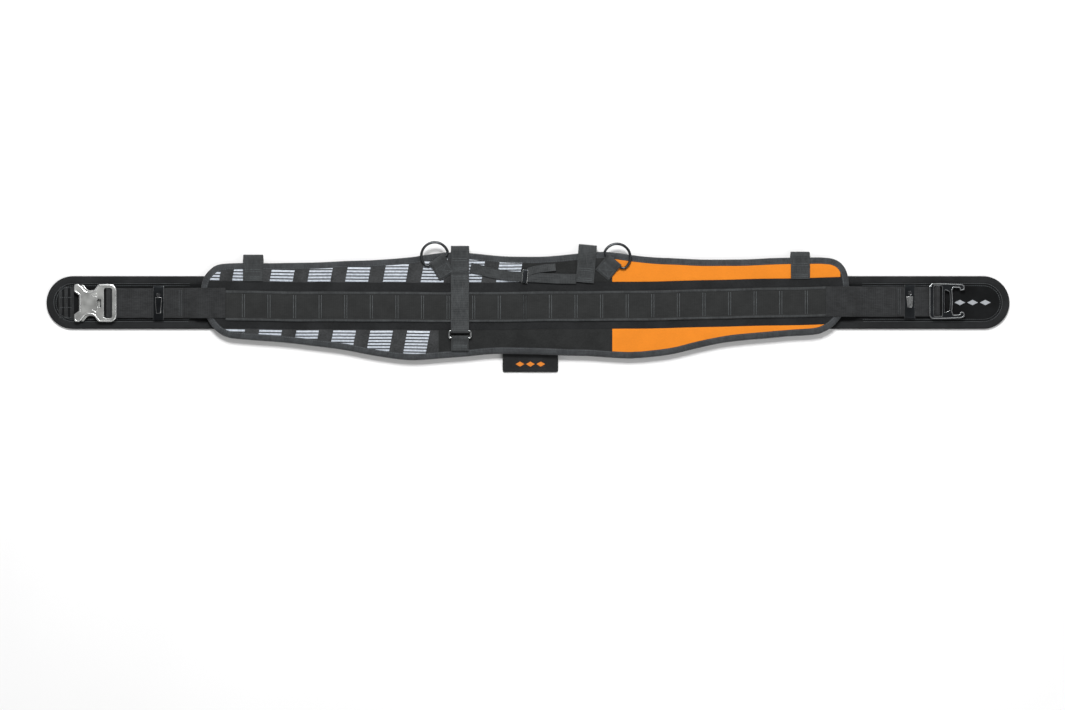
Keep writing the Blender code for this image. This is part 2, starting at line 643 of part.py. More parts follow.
def build_vertical_strap():
    """Back layer down to the rectangular ring, front flap back up, anchor loop below."""
    low_x, high_x = STRAP_X - STRAP_WIDTH / 2, STRAP_X + STRAP_WIDTH / 2
    half = WRAP / 2
    panel_level = ROW_BOTTOM + WRAP + GAP + half
    row_level = ROW_TOP + GAP + half
    row_high, row_low = row_y(STRAP_X) + ROW_HALF_WIDTH, row_y(STRAP_X) - ROW_HALF_WIDTH
    inner = STRAP_RING_WIRE + GAP
    under_bar = STRAP_RING_Z - inner - half
    back = [(44.7, panel_level), (row_high + 5, panel_level), (row_high + 0.5, row_level),
            (row_low - 0.5, row_level), (STRAP_RING_TOP_Y + 3, under_bar),
            (STRAP_RING_TOP_Y, under_bar)]
    prism("strap_back_layer", ribbon(back, WRAP), low_x, high_x, "webbing", "X")
    lift = row_level + WRAP + GAP
    flap = arc((STRAP_RING_TOP_Y, STRAP_RING_Z), inner + half, 125, 90, 2)
    flap += [(row_low - 1, lift + 0.4), (row_high, lift), (FLAP_TOP_Y, lift)]
    shifted = [(y - STRAP_RING_TOP_Y, z - STRAP_RING_Z) for y, z in flap]
    prism("strap_flap", ribbon(shifted, WRAP), -STRAP_WIDTH / 2, STRAP_WIDTH / 2, "webbing", "X",
          origin=(STRAP_X, STRAP_RING_TOP_Y, STRAP_RING_Z))
    ring_path = rounded(box_outline(-STRAP_RING_HALF, STRAP_RING_HALF, STRAP_RING_LOW_Y,
                                    STRAP_RING_TOP_Y), 2.2, 2)
    wire_loop("strap_ring", ring_path, STRAP_RING_WIRE, "steel", origin=(STRAP_X, 0, STRAP_RING_Z))
    outer = inner + WRAP
    anchor_low = BINDING_TOP + GAP - STRAP_RING_Z
    wrapped_loop("strap_anchor_loop", (STRAP_RING_LOW_Y, STRAP_RING_Z), STRAP_WIDTH - 1, outer, inner,
                 (-20.0, max(anchor_low, -outer), max(anchor_low, -outer) + WRAP), "webbing",
                 origin=(STRAP_X, 0, 0), axis="X")


def build_cross_strap():
    line = ribbon(CROSS_POINTS, 2 * CROSS_HALF_WIDTH)
    prism("cross_strap", line, *CROSS_Z, "webbing")


def slider_angle():
    (x0, y0), _, (x1, y1) = CROSS_POINTS
    return math.degrees(math.atan2(y1 - y0, x1 - x0))


def build_slider():
    """Metal slider round the cross strap, with the strap's free tail sewn to it."""
    y = CROSS_POINTS[1][1]
    outer = rounded(box_outline(-SLIDER_HALF_WIDTH, SLIDER_HALF_WIDTH, *SLIDER_Z), 1.2, 2)
    inner = box_outline(-SLIDER_SLOT_HALF, SLIDER_SLOT_HALF, CROSS_Z[0] - GAP, CROSS_Z[1] + GAP)
    prism("strap_slider", outer, -SLIDER_HALF_LENGTH, SLIDER_HALF_LENGTH, "steel", "X", [inner],
          (SLIDER_X, y, 0), slider_angle())
    start = Vector((SLIDER_X + SLIDER_HALF_LENGTH + 2.2, y + 5.6))
    end = Vector(TAIL_END)
    along = (end - start).normalized()
    across = Vector((-along[1], along[0])) * TAIL_HALF_WIDTH
    slant = along * 4.0
    outline = [start - across, end - across - slant, end + across, start + across]
    prism("strap_tail", [tuple(p) for p in outline], CROSS_Z[1] + GAP, CROSS_Z[1] + GAP + 0.9,
          "webbing")


def build_tag():
    outline = rounded(box_outline(-38, 45, -104, -66), 4.0)
    prism("hanging_tag", outline, BINDING_BOTTOM - GAP - 1.2, BINDING_BOTTOM - GAP, "tag")


def build():
    clear_scene()
    build_liner()
    build_pad()
    build_bindings()
    build_panels()
    build_row()
    build_side_webbing("left", -1, ROW_LEFT, LEFT_PAD_END, LEFT_TAIL_X, LEFT_FOLD_END,
                       LEFT_BUCKLE_HINGE_X, LEFT_BUCKLE_Y)
    build_side_webbing("right", 1, ROW_RIGHT, RIGHT_PAD_END, RIGHT_TAIL_X, RIGHT_FOLD_END,
                       RIGHT_BUCKLE_HINGE_X, RIGHT_KEEPER[1])
    build_keeper("left", LEFT_KEEPER)
    build_keeper("right", RIGHT_KEEPER)
    build_female_buckle()
    build_male_buckle()
    on_pad = BINDING_TOP + GAP
    over_tabs = on_pad + WRAP + GAP
    build_top_loop(1, -424.6, -395.0, 71.4, 31.7, on_pad)
    build_top_loop(2, -114.9, -87.7, 84.5, 45.0, over_tabs)
    build_top_loop(3, 76.3, 103.5, 85.0, 28.5, over_tabs, -5.0)
    build_top_loop(4, 391.5, 420.0, 75.8, 35.0, on_pad)
    build_d_ring("left", LEFT_RING, LEFT_TAB_LEAF)
    build_d_ring("right", RIGHT_RING, RIGHT_TAB_LEAF)
    build_vertical_strap()
    build_cross_strap()
    build_slider()
    build_tag()


build()
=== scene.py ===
"""Looks of the padded work belt: soft goods, hardware finish, stitching, floor, light and camera.

Lengths are in millimetres, scaled to metres when a mesh is made. Places come from the CAD nodes.
"""
import json
import math

import bmesh
import bpy
import numpy as np
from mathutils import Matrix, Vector

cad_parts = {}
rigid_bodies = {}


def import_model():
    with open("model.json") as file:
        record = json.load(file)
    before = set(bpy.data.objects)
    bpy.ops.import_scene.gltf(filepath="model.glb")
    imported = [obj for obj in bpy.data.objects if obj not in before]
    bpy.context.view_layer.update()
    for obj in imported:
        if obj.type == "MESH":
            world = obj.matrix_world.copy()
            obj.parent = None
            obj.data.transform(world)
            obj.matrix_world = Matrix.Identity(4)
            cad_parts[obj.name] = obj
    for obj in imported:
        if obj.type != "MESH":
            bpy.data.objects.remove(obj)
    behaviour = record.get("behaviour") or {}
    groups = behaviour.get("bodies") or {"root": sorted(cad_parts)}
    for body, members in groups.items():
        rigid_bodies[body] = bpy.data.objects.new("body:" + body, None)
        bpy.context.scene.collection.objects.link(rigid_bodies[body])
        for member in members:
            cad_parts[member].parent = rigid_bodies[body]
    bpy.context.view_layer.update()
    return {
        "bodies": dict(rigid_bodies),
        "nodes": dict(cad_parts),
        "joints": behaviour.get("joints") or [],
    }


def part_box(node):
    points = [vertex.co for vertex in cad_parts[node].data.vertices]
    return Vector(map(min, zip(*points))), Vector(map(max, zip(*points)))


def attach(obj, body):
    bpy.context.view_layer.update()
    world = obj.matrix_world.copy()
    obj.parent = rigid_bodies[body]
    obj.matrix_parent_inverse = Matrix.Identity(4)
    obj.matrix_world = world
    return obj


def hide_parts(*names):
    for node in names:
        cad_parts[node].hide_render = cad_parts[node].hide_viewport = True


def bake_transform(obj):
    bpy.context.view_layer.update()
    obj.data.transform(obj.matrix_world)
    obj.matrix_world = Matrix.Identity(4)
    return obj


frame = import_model()

MM = 0.001
UV_PER_MM = 0.01              # every soft mesh's UV map is its rest surface, 100 mm to one unit
COLUMN = 4.0                  # spacing of mesh columns along the belt
EDGE_STEPS = (0, 0.25, 0.7, 1.4, 2.4, 3.6, 5.0)     # mesh rows in from a slab's edge
THREAD_SIDES = 5
FLAT_STRAP_THICK = 0.9
UPRIGHT = np.array([[0.0, 0.0, 1.0]])               # one up direction for a whole line
SIDES = ("left", "right")
SIGN = {"left": -1, "right": 1}
BUCKLE = {"left": "female_buckle", "right": "male_buckle"}


# ------------------------------------------------------------------ places from the frame
def node_box(node):
    low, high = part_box(node)
    return np.array(low) / MM, np.array(high) / MM


JOINTS = {joint["name"]: joint for joint in frame["joints"]}


def hinge_x(name):
    return JOINTS[name]["pos_m"][0] / MM


SEAM = {side: hinge_x(side + "_wing_wrap") for side in SIDES}
TAIL = {side: hinge_x(side + "_tail_wrap") for side in SIDES}
TIP = {side: hinge_x(BUCKLE[side] + "_tip") for side in SIDES}


def outlines_of(node):
    """Outlines of a flat CAD node's top face, anticlockwise, the longest first."""
    bm = bmesh.new()
    bm.from_mesh(frame["nodes"][node].data)
    bmesh.ops.remove_doubles(bm, verts=bm.verts, dist=1e-5)
    top = max(v.co.z for v in bm.verts) - 1e-5
    faces = {f for f in bm.faces if all(v.co.z > top for v in f.verts)}
    following = {}
    for face in faces:
        for loop in face.loops:
            if sum(other in faces for other in loop.edge.link_faces) == 1:
                following[loop.vert] = loop.link_loop_next.vert
    rings = []
    while following:
        start = next(iter(following))
        ring = [start]
        while following[ring[-1]] is not start:
            ring.append(following[ring[-1]])
        for vert in ring:
            del following[vert]
        rings.append(np.array([(v.co.x, v.co.y) for v in ring]) / MM)
    bm.free()
    return sorted(rings, key=len, reverse=True)


def run_lengths(points):
    """Length along a line up to each of its points."""
    return np.r_[0, np.cumsum(np.linalg.norm(np.diff(points, axis=0), axis=1))]


def tangents(line, closed=False):
    """Unit directions along a line."""
    if closed:
        along = np.roll(line, -1, axis=0) - np.roll(line, 1, axis=0)
    else:
        along = np.gradient(line, axis=0)
    return along / np.linalg.norm(along, axis=1)[:, None]


def leftward(line, closed=False):
    """Level unit vectors to the left of a line, which is inwards on an anticlockwise ring."""
    along = tangents(line[:, :2], closed)
    return np.column_stack([-along[:, 1], along[:, 0], np.zeros(len(along))])


def resample(points, step, closed=False):
    """The same line with evenly spaced points."""
    points = np.asarray(points, float)
    if closed:
        points = np.vstack([points, points[:1]])
    lengths = run_lengths(points)
    count = max(2, int(round(lengths[-1] / step)) + 1)
    at = np.linspace(0, lengths[-1], count)
    out = np.column_stack([np.interp(at, lengths, points[:, k]) for k in range(points.shape[1])])
    return out[:-1] if closed else out


def smooth(points, step, closed=False):
    """A Catmull-Rom curve through the points, with evenly spaced points on it."""
    points = np.asarray(points, float)
    if closed:
        padded = np.vstack([points[-1:], points, points[:2]])
    else:
        padded = np.vstack([2 * points[0] - points[1], points, 2 * points[-1] - points[-2]])
    fine = []
    for p0, p1, p2, p3 in zip(padded, padded[1:], padded[2:], padded[3:]):
        for t in np.linspace(0, 1, 9)[:-1]:
            fine.append(0.5 * (2 * p1 + (p2 - p0) * t + (2 * p0 - 5 * p1 + 4 * p2 - p3) * t ** 2
                               + (3 * p1 - p0 - 3 * p2 + p3) * t ** 3))
    if not closed:
        fine.append(points[-1])
    return resample(fine, step, closed)


def open_runs(ring, seams):
    """A ring cut at its long edges that lie on seam planes."""
    count = len(ring)
    starts = []
    for i in range(count):
        here, before = ring[i], ring[i - 1]
        on_seam = any(abs(here[0] - s) < 1 and abs(before[0] - s) < 1 for s in seams)
        if on_seam and abs(here[1] - before[1]) > 20:
            starts.append(i)
    stops = starts[1:] + [starts[0] + count]
    return [np.array([ring[k % count] for k in range(a, b)]) for a, b in zip(starts, stops)]


def pad_outline():
    """The whole pad's outer edge, anticlockwise from its upper left seam."""
    runs = {side: open_runs(outlines_of("pad_" + side)[0], SEAM.values())
            for side in ("left", "centre", "right")}
    below = next(run for run in runs["centre"] if run[:, 1].mean() < 0)
    above = next(run for run in runs["centre"] if run[:, 1].mean() > 0)
    ring = np.vstack([runs["left"][0][:-1], below[:-1], runs["right"][0][:-1], above[:-1]])
    ring = smooth(ring, COLUMN, closed=True)
    along = np.arange(len(ring)) * COLUMN
    uneven = 0.3 * np.sin(along / 31.0) + 0.18 * np.sin(along / 12.0 + 2.0)
    return offset_ring(ring, -PAD_WALL + uneven[:, None] * (np.abs(ring[:, :1]) < 440))


def offset_ring(ring, inward):
    """An anticlockwise ring moved inwards by a distance."""
    return ring + leftward(ring, closed=True)[:, :2] * inward


def distance_to(ring, points):
    """Distance of each point from a closed ring's line."""
    out = np.full(len(points), np.inf)
    for start, end in zip(ring, np.roll(ring, -1, axis=0)):
        step = end - start
        t = np.clip((points - start) @ step / (step @ step), 0, 1)
        out = np.minimum(out, np.linalg.norm(points - start - t[:, None] * step, axis=1))
    return out


def spans(ring, xs):
    """Lowest and highest y of a ring at each x."""
    low, high = np.full(len(xs), np.inf), np.full(len(xs), -np.inf)
    for start, end in zip(ring, np.roll(ring, -1, axis=0)):
        x0, x1 = start[0], end[0]
        if x0 == x1:
            continue
        inside = (xs >= min(x0, x1)) & (xs <= max(x0, x1))
        y = start[1] + (end[1] - start[1]) * (xs - x0) / (x1 - x0)
        low = np.where(inside, np.minimum(low, y), low)
        high = np.where(inside, np.maximum(high, y), high)
    return low, high


LINER_LOW, LINER_HIGH = node_box("liner_left_end")[0], node_box("liner_right_end")[1]
LINER_END = LINER_HIGH[0]
LINER_HALF = LINER_HIGH[1]
LINER_TOP = LINER_HIGH[2]
PAD_WALL = node_box("pad_left")[0][0] - node_box("binding_left")[0][0]
PAD_LOW, PAD_HIGH = node_box("pad_left")[0][2], node_box("pad_left")[1][2]
BIND_LOW, BIND_HIGH = node_box("binding_left")[0][2], node_box("binding_left")[1][2]
PANEL_TOP = node_box("panel_centre")[1][2]
ROW_LOW_END, ROW_HIGH_END = node_box("equipment_webbing_left"), node_box("equipment_webbing_right")
ROW_END = {"left": ROW_LOW_END[0][0], "right": ROW_HIGH_END[1][0]}
ROW_HIGH = ROW_LOW_END[1][2]
EDGE = pad_outline()
PAD_END = {"left": EDGE[:, 0].min(), "right": EDGE[:, 0].max()}


def row_line():
    """The equipment row's centre line, from the CAD strips' own outlines."""
    xs, ys = [], []
    for side in ("left", "centre", "right"):
        ring = outlines_of("equipment_webbing_" + side)[0]
        at = np.linspace(ring[:, 0].min() + 1, ring[:, 0].max() - 1, 6)
        low, high = spans(ring, at)
        xs.extend(at)
        ys.extend((low + high) / 2)
    return np.polyfit(xs, ys, 2)


ROW_CURVE = row_line()
ROW_HALF = (spans(outlines_of("equipment_webbing_centre")[0], np.array([0.0]))[1][0]
            - np.polyval(ROW_CURVE, 0.0))
BAND_UP, BAND_DOWN = ROW_HALF + 13.3, -(ROW_HALF + 11.5)
BINDING_WIDTH = 10.0


def row_y(x):
    """The row's centre line, sewn by hand and eye: never quite straight."""
    return np.polyval(ROW_CURVE, x) + 0.32 * np.sin(x / 43.0 + 0.6) + 0.16 * np.sin(x / 17.0)


# ------------------------------------------------------------------ mesh builders
def make_object(name, verts, faces, uvs, materials, face_slots=None, angle=40):
    mesh = bpy.data.meshes.new(name)
    mesh.from_pydata([tuple(v) for v in np.asarray(verts) * MM], [], [tuple(f) for f in faces])
    layer = mesh.uv_layers.new(name="rest")
    loops = np.zeros(len(mesh.loops), int)
    mesh.loops.foreach_get("vertex_index", loops)
    layer.data.foreach_set("uv", (np.asarray(uvs)[loops] * UV_PER_MM).ravel())
    for item in materials:
        mesh.materials.append(item)
    if face_slots is not None:
        mesh.polygons.foreach_set("material_index", np.asarray(face_slots, int))
    bm = bmesh.new()
    bm.from_mesh(mesh)
    bmesh.ops.remove_doubles(bm, verts=bm.verts, dist=1e-7)
    bmesh.ops.dissolve_degenerate(bm, edges=bm.edges, dist=1e-7)
    bmesh.ops.recalc_face_normals(bm, faces=bm.faces)
    bm.to_mesh(mesh)
    bm.free()
    mesh.shade_smooth()
    mesh.set_sharp_from_angle(angle=math.radians(angle))
    obj = bpy.data.objects.new(name, mesh)
    bpy.context.scene.collection.objects.link(obj)
    return obj


def tube_faces(rows, count, base=0, closed=False):
    """Faces of a tube made of rings of vertices, capped unless it is closed on itself."""
    faces = []
    for i in range(rows if closed else rows - 1):
        here, after = base + i * count, base + (i + 1) % rows * count
        for k in range(count):
            m = (k + 1) % count
            faces.append((here + k, after + k, after + m, here + m))
    if not closed:
        last = base + (rows - 1) * count
        faces.append(tuple(range(base, base + count)))
        faces.append(tuple(range(last, last + count)))
    return faces


def across(span, middle):
    """Offsets across a span: close together at both edges, even between them."""
    near = np.array(EDGE_STEPS) * min(1.0, span / (2.6 * EDGE_STEPS[-1]))
    inner = np.linspace(near[-1], span - near[-1], middle + 2)[1:-1]
    return np.concatenate([near, inner, span - near[::-1]])


def slab(name, xs, low, high, top, bottom, materials, middle=14, pick=None, depth=None, roll=1.0):
    """A padded slab from columns along x. top and bottom give z at (x, y); depth gives how far a
    point lies inside the outline, and the slab's edge is rolled over within `roll` of it."""
    offsets = [across(max(h - l, 0.02), middle) for l, h in zip(low, high)]
    y = np.array([l + o for l, o in zip(low, offsets)])
    x = np.repeat(np.asarray(xs)[:, None], y.shape[1], axis=1)
    flat = np.column_stack([x.ravel(), y.ravel()])
    if depth is None:
        inside = np.minimum(y - y[:, :1], y[:, -1:] - y).ravel()
    else:
        inside = depth(flat)
    share = np.sqrt(1 - (1 - np.clip(inside / roll, 0, 1)) ** 2)
    z_top, z_low = top(flat[:, 0], flat[:, 1]), bottom(flat[:, 0], flat[:, 1])
    middle_z = (z_top + z_low) / 2
    upper = np.column_stack([flat, middle_z + (z_top - middle_z) * share])
    lower = np.column_stack([flat, middle_z + (z_low - middle_z) * share])
    count, rows = y.shape[1], len(xs)
    grid = np.arange(rows * count).reshape(rows, count)
    under = grid + rows * count
    faces = []
    for i in range(rows - 1):
        for k in range(count - 1):
            faces.append((grid[i, k], grid[i + 1, k], grid[i + 1, k + 1], grid[i, k + 1]))
            faces.append((under[i, k], under[i, k + 1], under[i + 1, k + 1], under[i + 1, k]))
        faces.append((grid[i, 0], under[i, 0], under[i + 1, 0], grid[i + 1, 0]))
        faces.append((grid[i, -1], grid[i + 1, -1], under[i + 1, -1], under[i, -1]))
    for i in (0, rows - 1):
        for k in range(count - 1):
            faces.append((grid[i, k], grid[i, k + 1], under[i, k + 1], under[i, k]))
    verts = np.vstack([upper, lower])
    slots = None
    if pick is not None:
        centres = np.array([verts[list(f)].mean(axis=0) for f in faces])
        slots = pick(centres)
    return make_object(name, verts, faces, verts[:, :2], materials, slots)


def sweep(name, centres, sides, ups, profile, material, closed=False, angle=40):
    """A closed profile of (side, up) offsets carried along a line."""
    centres, profile = np.asarray(centres, float), np.asarray(profile, float)
    rows, count = len(centres), len(profile)
    verts = (centres[:, None, :] + profile[None, :, :1] * sides[:, None, :]
             + profile[None, :, 1:] * ups[:, None, :]).reshape(-1, 3)
    uvs = np.column_stack([np.repeat(run_lengths(centres), count), np.tile(run_lengths(profile), rows)])
    return make_object(name, verts, tube_faces(rows, count, closed=closed), uvs, [material], angle=angle)


def strap_profile(width, thick):
    """Section of woven strap: flat faces and rounded selvedges."""
    half, t = width / 2, thick / 2
    right = [(half - t * 0.7, t), (half - t * 0.25, t * 0.72), (half, 0),
             (half - t * 0.25, -t * 0.72), (half - t * 0.7, -t)]
    left = [(-x, y) for x, y in reversed(right)]
    upper = [(x, t) for x in np.linspace(-half + t * 0.7, half - t * 0.7, 9)[1:-1]]
    lower = [(-x, -t) for x, _ in upper]
    return upper + right + lower + left


def strap(name, path, width, thick, material, side=(0, 1, 0), step=2.5, even=False):
    """A woven strap along a path, which lies in the plane square to `side`."""
    line = resample(path, step) if even else smooth(path, step)
    sides = (np.asarray(side, float) / np.linalg.norm(side))[None]
    ups = np.cross(tangents(line), sides)
    return sweep(name, line, sides, ups, strap_profile(width, thick), material)


def flat_strap(name, points, width, material):
    """Thin webbing that lies flat and curves sideways."""
    line = smooth(points, 2.0)
    profile = strap_profile(width, FLAT_STRAP_THICK)
    return sweep(name, line, -leftward(line), UPRIGHT, profile, material)


def stitches(name, lines, material, pitch=3.0, length=2.1, radius=0.33, lift=0.1):
    """Rows of thread stitches that lie on the given lines."""
    stations = ((0.0, 0.35, 0.0), (0.25, 1.0, lift), (0.75, 1.0, lift), (1.0, 0.35, 0.0))
    verts, faces, uvs = [], [], []
    for line in lines:
        line = np.asarray(line, float)
        lengths = run_lengths(line)
        for start in np.arange(pitch * 0.2, lengths[-1] - length, pitch):
            ends = [np.array([np.interp(s, lengths, line[:, k]) for k in range(3)])
                    for s in (start, start + length)]
            along = ends[1] - ends[0]
            along /= np.linalg.norm(along)
            side = np.cross((0, 0, 1), along)
            side /= max(np.linalg.norm(side), 1e-6)
            up = np.cross(along, side)
            faces += tube_faces(len(stations), THREAD_SIDES, len(verts))
            for t, size, rise in stations:
                middle = ends[0] + (ends[1] - ends[0]) * t + up * rise
                for k in range(THREAD_SIDES):
                    turn = 2 * math.pi * k / THREAD_SIDES
                    verts.append(middle + (side * math.cos(turn) + up * math.sin(turn)) * radius * size)
                    uvs.append((start + length * t, k * 0.3))
    return make_object(name, verts, faces, uvs, [material], angle=60)


# ------------------------------------------------------------------ riding and baking in place
def bend(obj, hinge):
    """Bake a cloth piece's transform into its mesh; the hinge is not used."""
    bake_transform(obj)


def seam_bend(obj, side):
    bend(obj, SEAM[side])


def tail_bend(obj, side):
    bend(obj, TAIL[side])


def tip_bend(obj, side):
    bend(obj, TIP[side])


def settle(obj, body=None, nodes=()):
    """Attach a piece to the body it rides, if one is given, and hide the CAD nodes it stands for."""
    if body:
        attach(obj, body)
    if nodes:
        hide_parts(*nodes)


# ------------------------------------------------------------------ materials
def srgb(code):
    values = [int(code[i:i + 2], 16) / 255 for i in (1, 3, 5)]
    return tuple(v / 12.92 if v <= 0.04045 else ((v + 0.055) / 1.055) ** 2.4 for v in values)


def shade(colour, factor):
    return tuple(min(1.0, c * factor) for c in colour)


def fill_ramp(color_ramp, stops):
    """Set a colour ramp's stops, each given as (place, colour)."""
    elements = color_ramp.elements
    while len(elements) < len(stops):
        elements.new(0.5)
    for element, (place, colour) in zip(elements, stops):
        element.position = place
        element.color = (*colour, 1.0)


class Shader:
    """A Principled material under construction, with short helpers for its nodes."""

    def __init__(self, name, roughness, metallic=0.0):
        self.material = bpy.data.materials.new(name)
        self.material.use_nodes = True
        self.nodes = self.material.node_tree.nodes
        self.links = self.material.node_tree.links
        self.shader = self.nodes["Principled BSDF"]
        self.shader.inputs["Roughness"].default_value = roughness
        self.shader.inputs["Metallic"].default_value = metallic

    def node(self, kind, inputs=(), **settings):
        made = self.nodes.new(kind)
        for key, value in settings.items():
            setattr(made, key, value)
        for key, value in dict(inputs).items():
            if isinstance(value, bpy.types.NodeSocket):
                self.links.new(value, made.inputs[key])
            else:
                made.inputs[key].default_value = value
        return made

    def math(self, operation, a, b=0.0):
        return self.node("ShaderNodeMath", {0: a, 1: b}, operation=operation).outputs[0]

    def rest_mm(self):
        """The rest surface's two coordinates in millimetres."""
        uv = self.node("ShaderNodeUVMap", uv_map="rest").outputs[0]
        parts = self.node("ShaderNodeSeparateXYZ", {0: uv})
        return (self.math("MULTIPLY", parts.outputs[0], 1 / UV_PER_MM),
                self.math("MULTIPLY", parts.outputs[1], 1 / UV_PER_MM), uv)

    def wave(self, value, pitch):
        return self.math("SINE", self.math("MULTIPLY", value, 2 * math.pi / pitch))

    def noise(self, vector, scale, detail=3.0, roughness=0.55):
        return self.node("ShaderNodeTexNoise", {"Vector": vector, "Scale": scale, "Detail": detail,
                                                "Roughness": roughness}).outputs["Fac"]

    def weigh(self, *parts):
        """The sum of values, each times its weight."""
        total = None
        for value, weight in parts:
            part = self.math("MULTIPLY", value, weight)
            total = part if total is None else self.math("ADD", total, part)
        return total

    def ramp(self, value, stops):
        """Colour the surface by a value, through stops given as (place, colour)."""
        made = self.node("ShaderNodeValToRGB", {"Fac": value})
        fill_ramp(made.color_ramp, stops)
        self.links.new(made.outputs["Color"], self.shader.inputs["Base Color"])

    def dye(self, value, code, low, high):
        """Colour between two shades of one dye, each given as (place, factor)."""
        base = srgb(code)
        self.ramp(value, [(place, shade(base, factor)) for place, factor in (low, high)])

    def bump(self, height, distance, strength=1.0):
        made = self.node("ShaderNodeBump", {"Height": height, "Distance": distance * MM,
                                            "Strength": strength})
        self.links.new(made.outputs[0], self.shader.inputs["Normal"])


def finish_cloth(made, sheen, specular=0.16):
    made.shader.inputs["Sheen Weight"].default_value = sheen
    made.shader.inputs["Sheen Roughness"].default_value = 0.5
    made.shader.inputs["Specular IOR Level"].default_value = specular
    return made.material


def cloth(name, code, pitch=(0.9, 0.9), bump=0.12, roughness=0.88, sheen=0.05, patchy=0.3):
    """Woven cloth: crossing threads, a slightly uneven dye and a soft sheen."""
    made = Shader(name, roughness)
    u, v, uv = made.rest_mm()
    weave = made.math("MULTIPLY", made.wave(u, pitch[0]), made.wave(v, pitch[1]))
    cloudy = made.noise(uv, 2.2, 5.0, 0.65)
    fine = made.noise(uv, 42.0, 2.0)
    threads = made.weigh((cloudy, 0.65), (fine, 0.35), (weave, 0.12))
    made.dye(threads, code, (0.42, 1 - patchy), (0.58, 1 + patchy))
    made.bump(made.weigh((weave, 0.5), (fine, 0.5)), bump)
    return finish_cloth(made, sheen)


def webbing(name, code, rib=1.5, cross=0.8, bump=0.3, sheen=0.06, swap=False, contrast=0.45):
    """Woven strap: ribs that run along it, crossed by picks, with worn and streaky yarn."""
    made = Shader(name, 0.75)
    u, v, uv = made.rest_mm()
    if swap:
        u, v = v, u
    ribs = made.math("ABSOLUTE", made.wave(v, rib * 2))
    picks = made.wave(made.math("ADD", u, made.math("MULTIPLY", made.wave(v, rib), 0.18)), cross)
    weave = made.weigh((ribs, 0.6), (picks, 0.25), (made.wave(u, cross * 3.0), 0.15))
    stretched = made.node("ShaderNodeCombineXYZ", {0: made.math("MULTIPLY", u, 0.01),
                                                   1: made.math("MULTIPLY", v, 0.06)}).outputs[0]
    streaks = made.noise(stretched, 9.0, 3.0)
    worn = made.noise(uv, 4.0, 5.0, 0.65)
    mixed = made.weigh((worn, 0.45), (streaks, 0.35), (weave, 0.3))
    made.dye(mixed, code, (0.43, 1 - contrast), (0.6, 1 + contrast))
    made.bump(weave, bump)
    return finish_cloth(made, sheen)


def air_mesh(name, code):
    """Spacer mesh: staggered small holes in a matt knit."""
    made = Shader(name, 0.92)
    u, v, uv = made.rest_mm()
    holes = made.math("MULTIPLY", made.wave(made.math("ADD", u, v), 3.0),
                      made.wave(made.math("SUBTRACT", u, v), 3.0))
    cloudy = made.noise(uv, 3.0, 5.0, 0.65)
    mixed = made.math("ADD", made.math("MULTIPLY", holes, 0.22), cloudy)
    made.dye(mixed, code, (0.3, 0.45), (0.75, 1.7))
    made.bump(holes, 0.3)
    return finish_cloth(made, 0.04, 0.12)


def metal(name, code, roughness, grain=0.02):
    """Cast or plated metal: fine grain and cloudy gloss."""
    made = Shader(name, roughness, 1.0)
    at = made.node("ShaderNodeTexCoord").outputs["Object"]
    fine = made.noise(at, 900.0, 2.0)
    cloudy = made.noise(at, 60.0, 3.0)
    made.dye(cloudy, code, (0.3, 0.82), (0.7, 1.15))
    gloss = made.node("ShaderNodeMapRange", {"Value": cloudy, "To Min": roughness * 0.8,
                                             "To Max": roughness * 1.3})
    made.links.new(gloss.outputs[0], made.shader.inputs["Roughness"])
    made.bump(fine, grain)
    return made.material


def print_silver(name):
    """Retroreflective print: pale glass-bead silver with a faint honeycomb."""
    made = Shader(name, 0.42)
    _, _, uv = made.rest_mm()
    cells = made.node("ShaderNodeTexVoronoi", {"Vector": uv, "Scale": 120.0}, feature="F1")
    fine = made.noise(uv, 30.0, 3.0)
    made.ramp(fine, [(0.35, srgb("#9ba2ac")), (0.65, srgb("#bac1ca"))])
    made.bump(cells.outputs["Distance"], 0.05)
    made.shader.inputs["Specular IOR Level"].default_value = 0.6
    return made.material


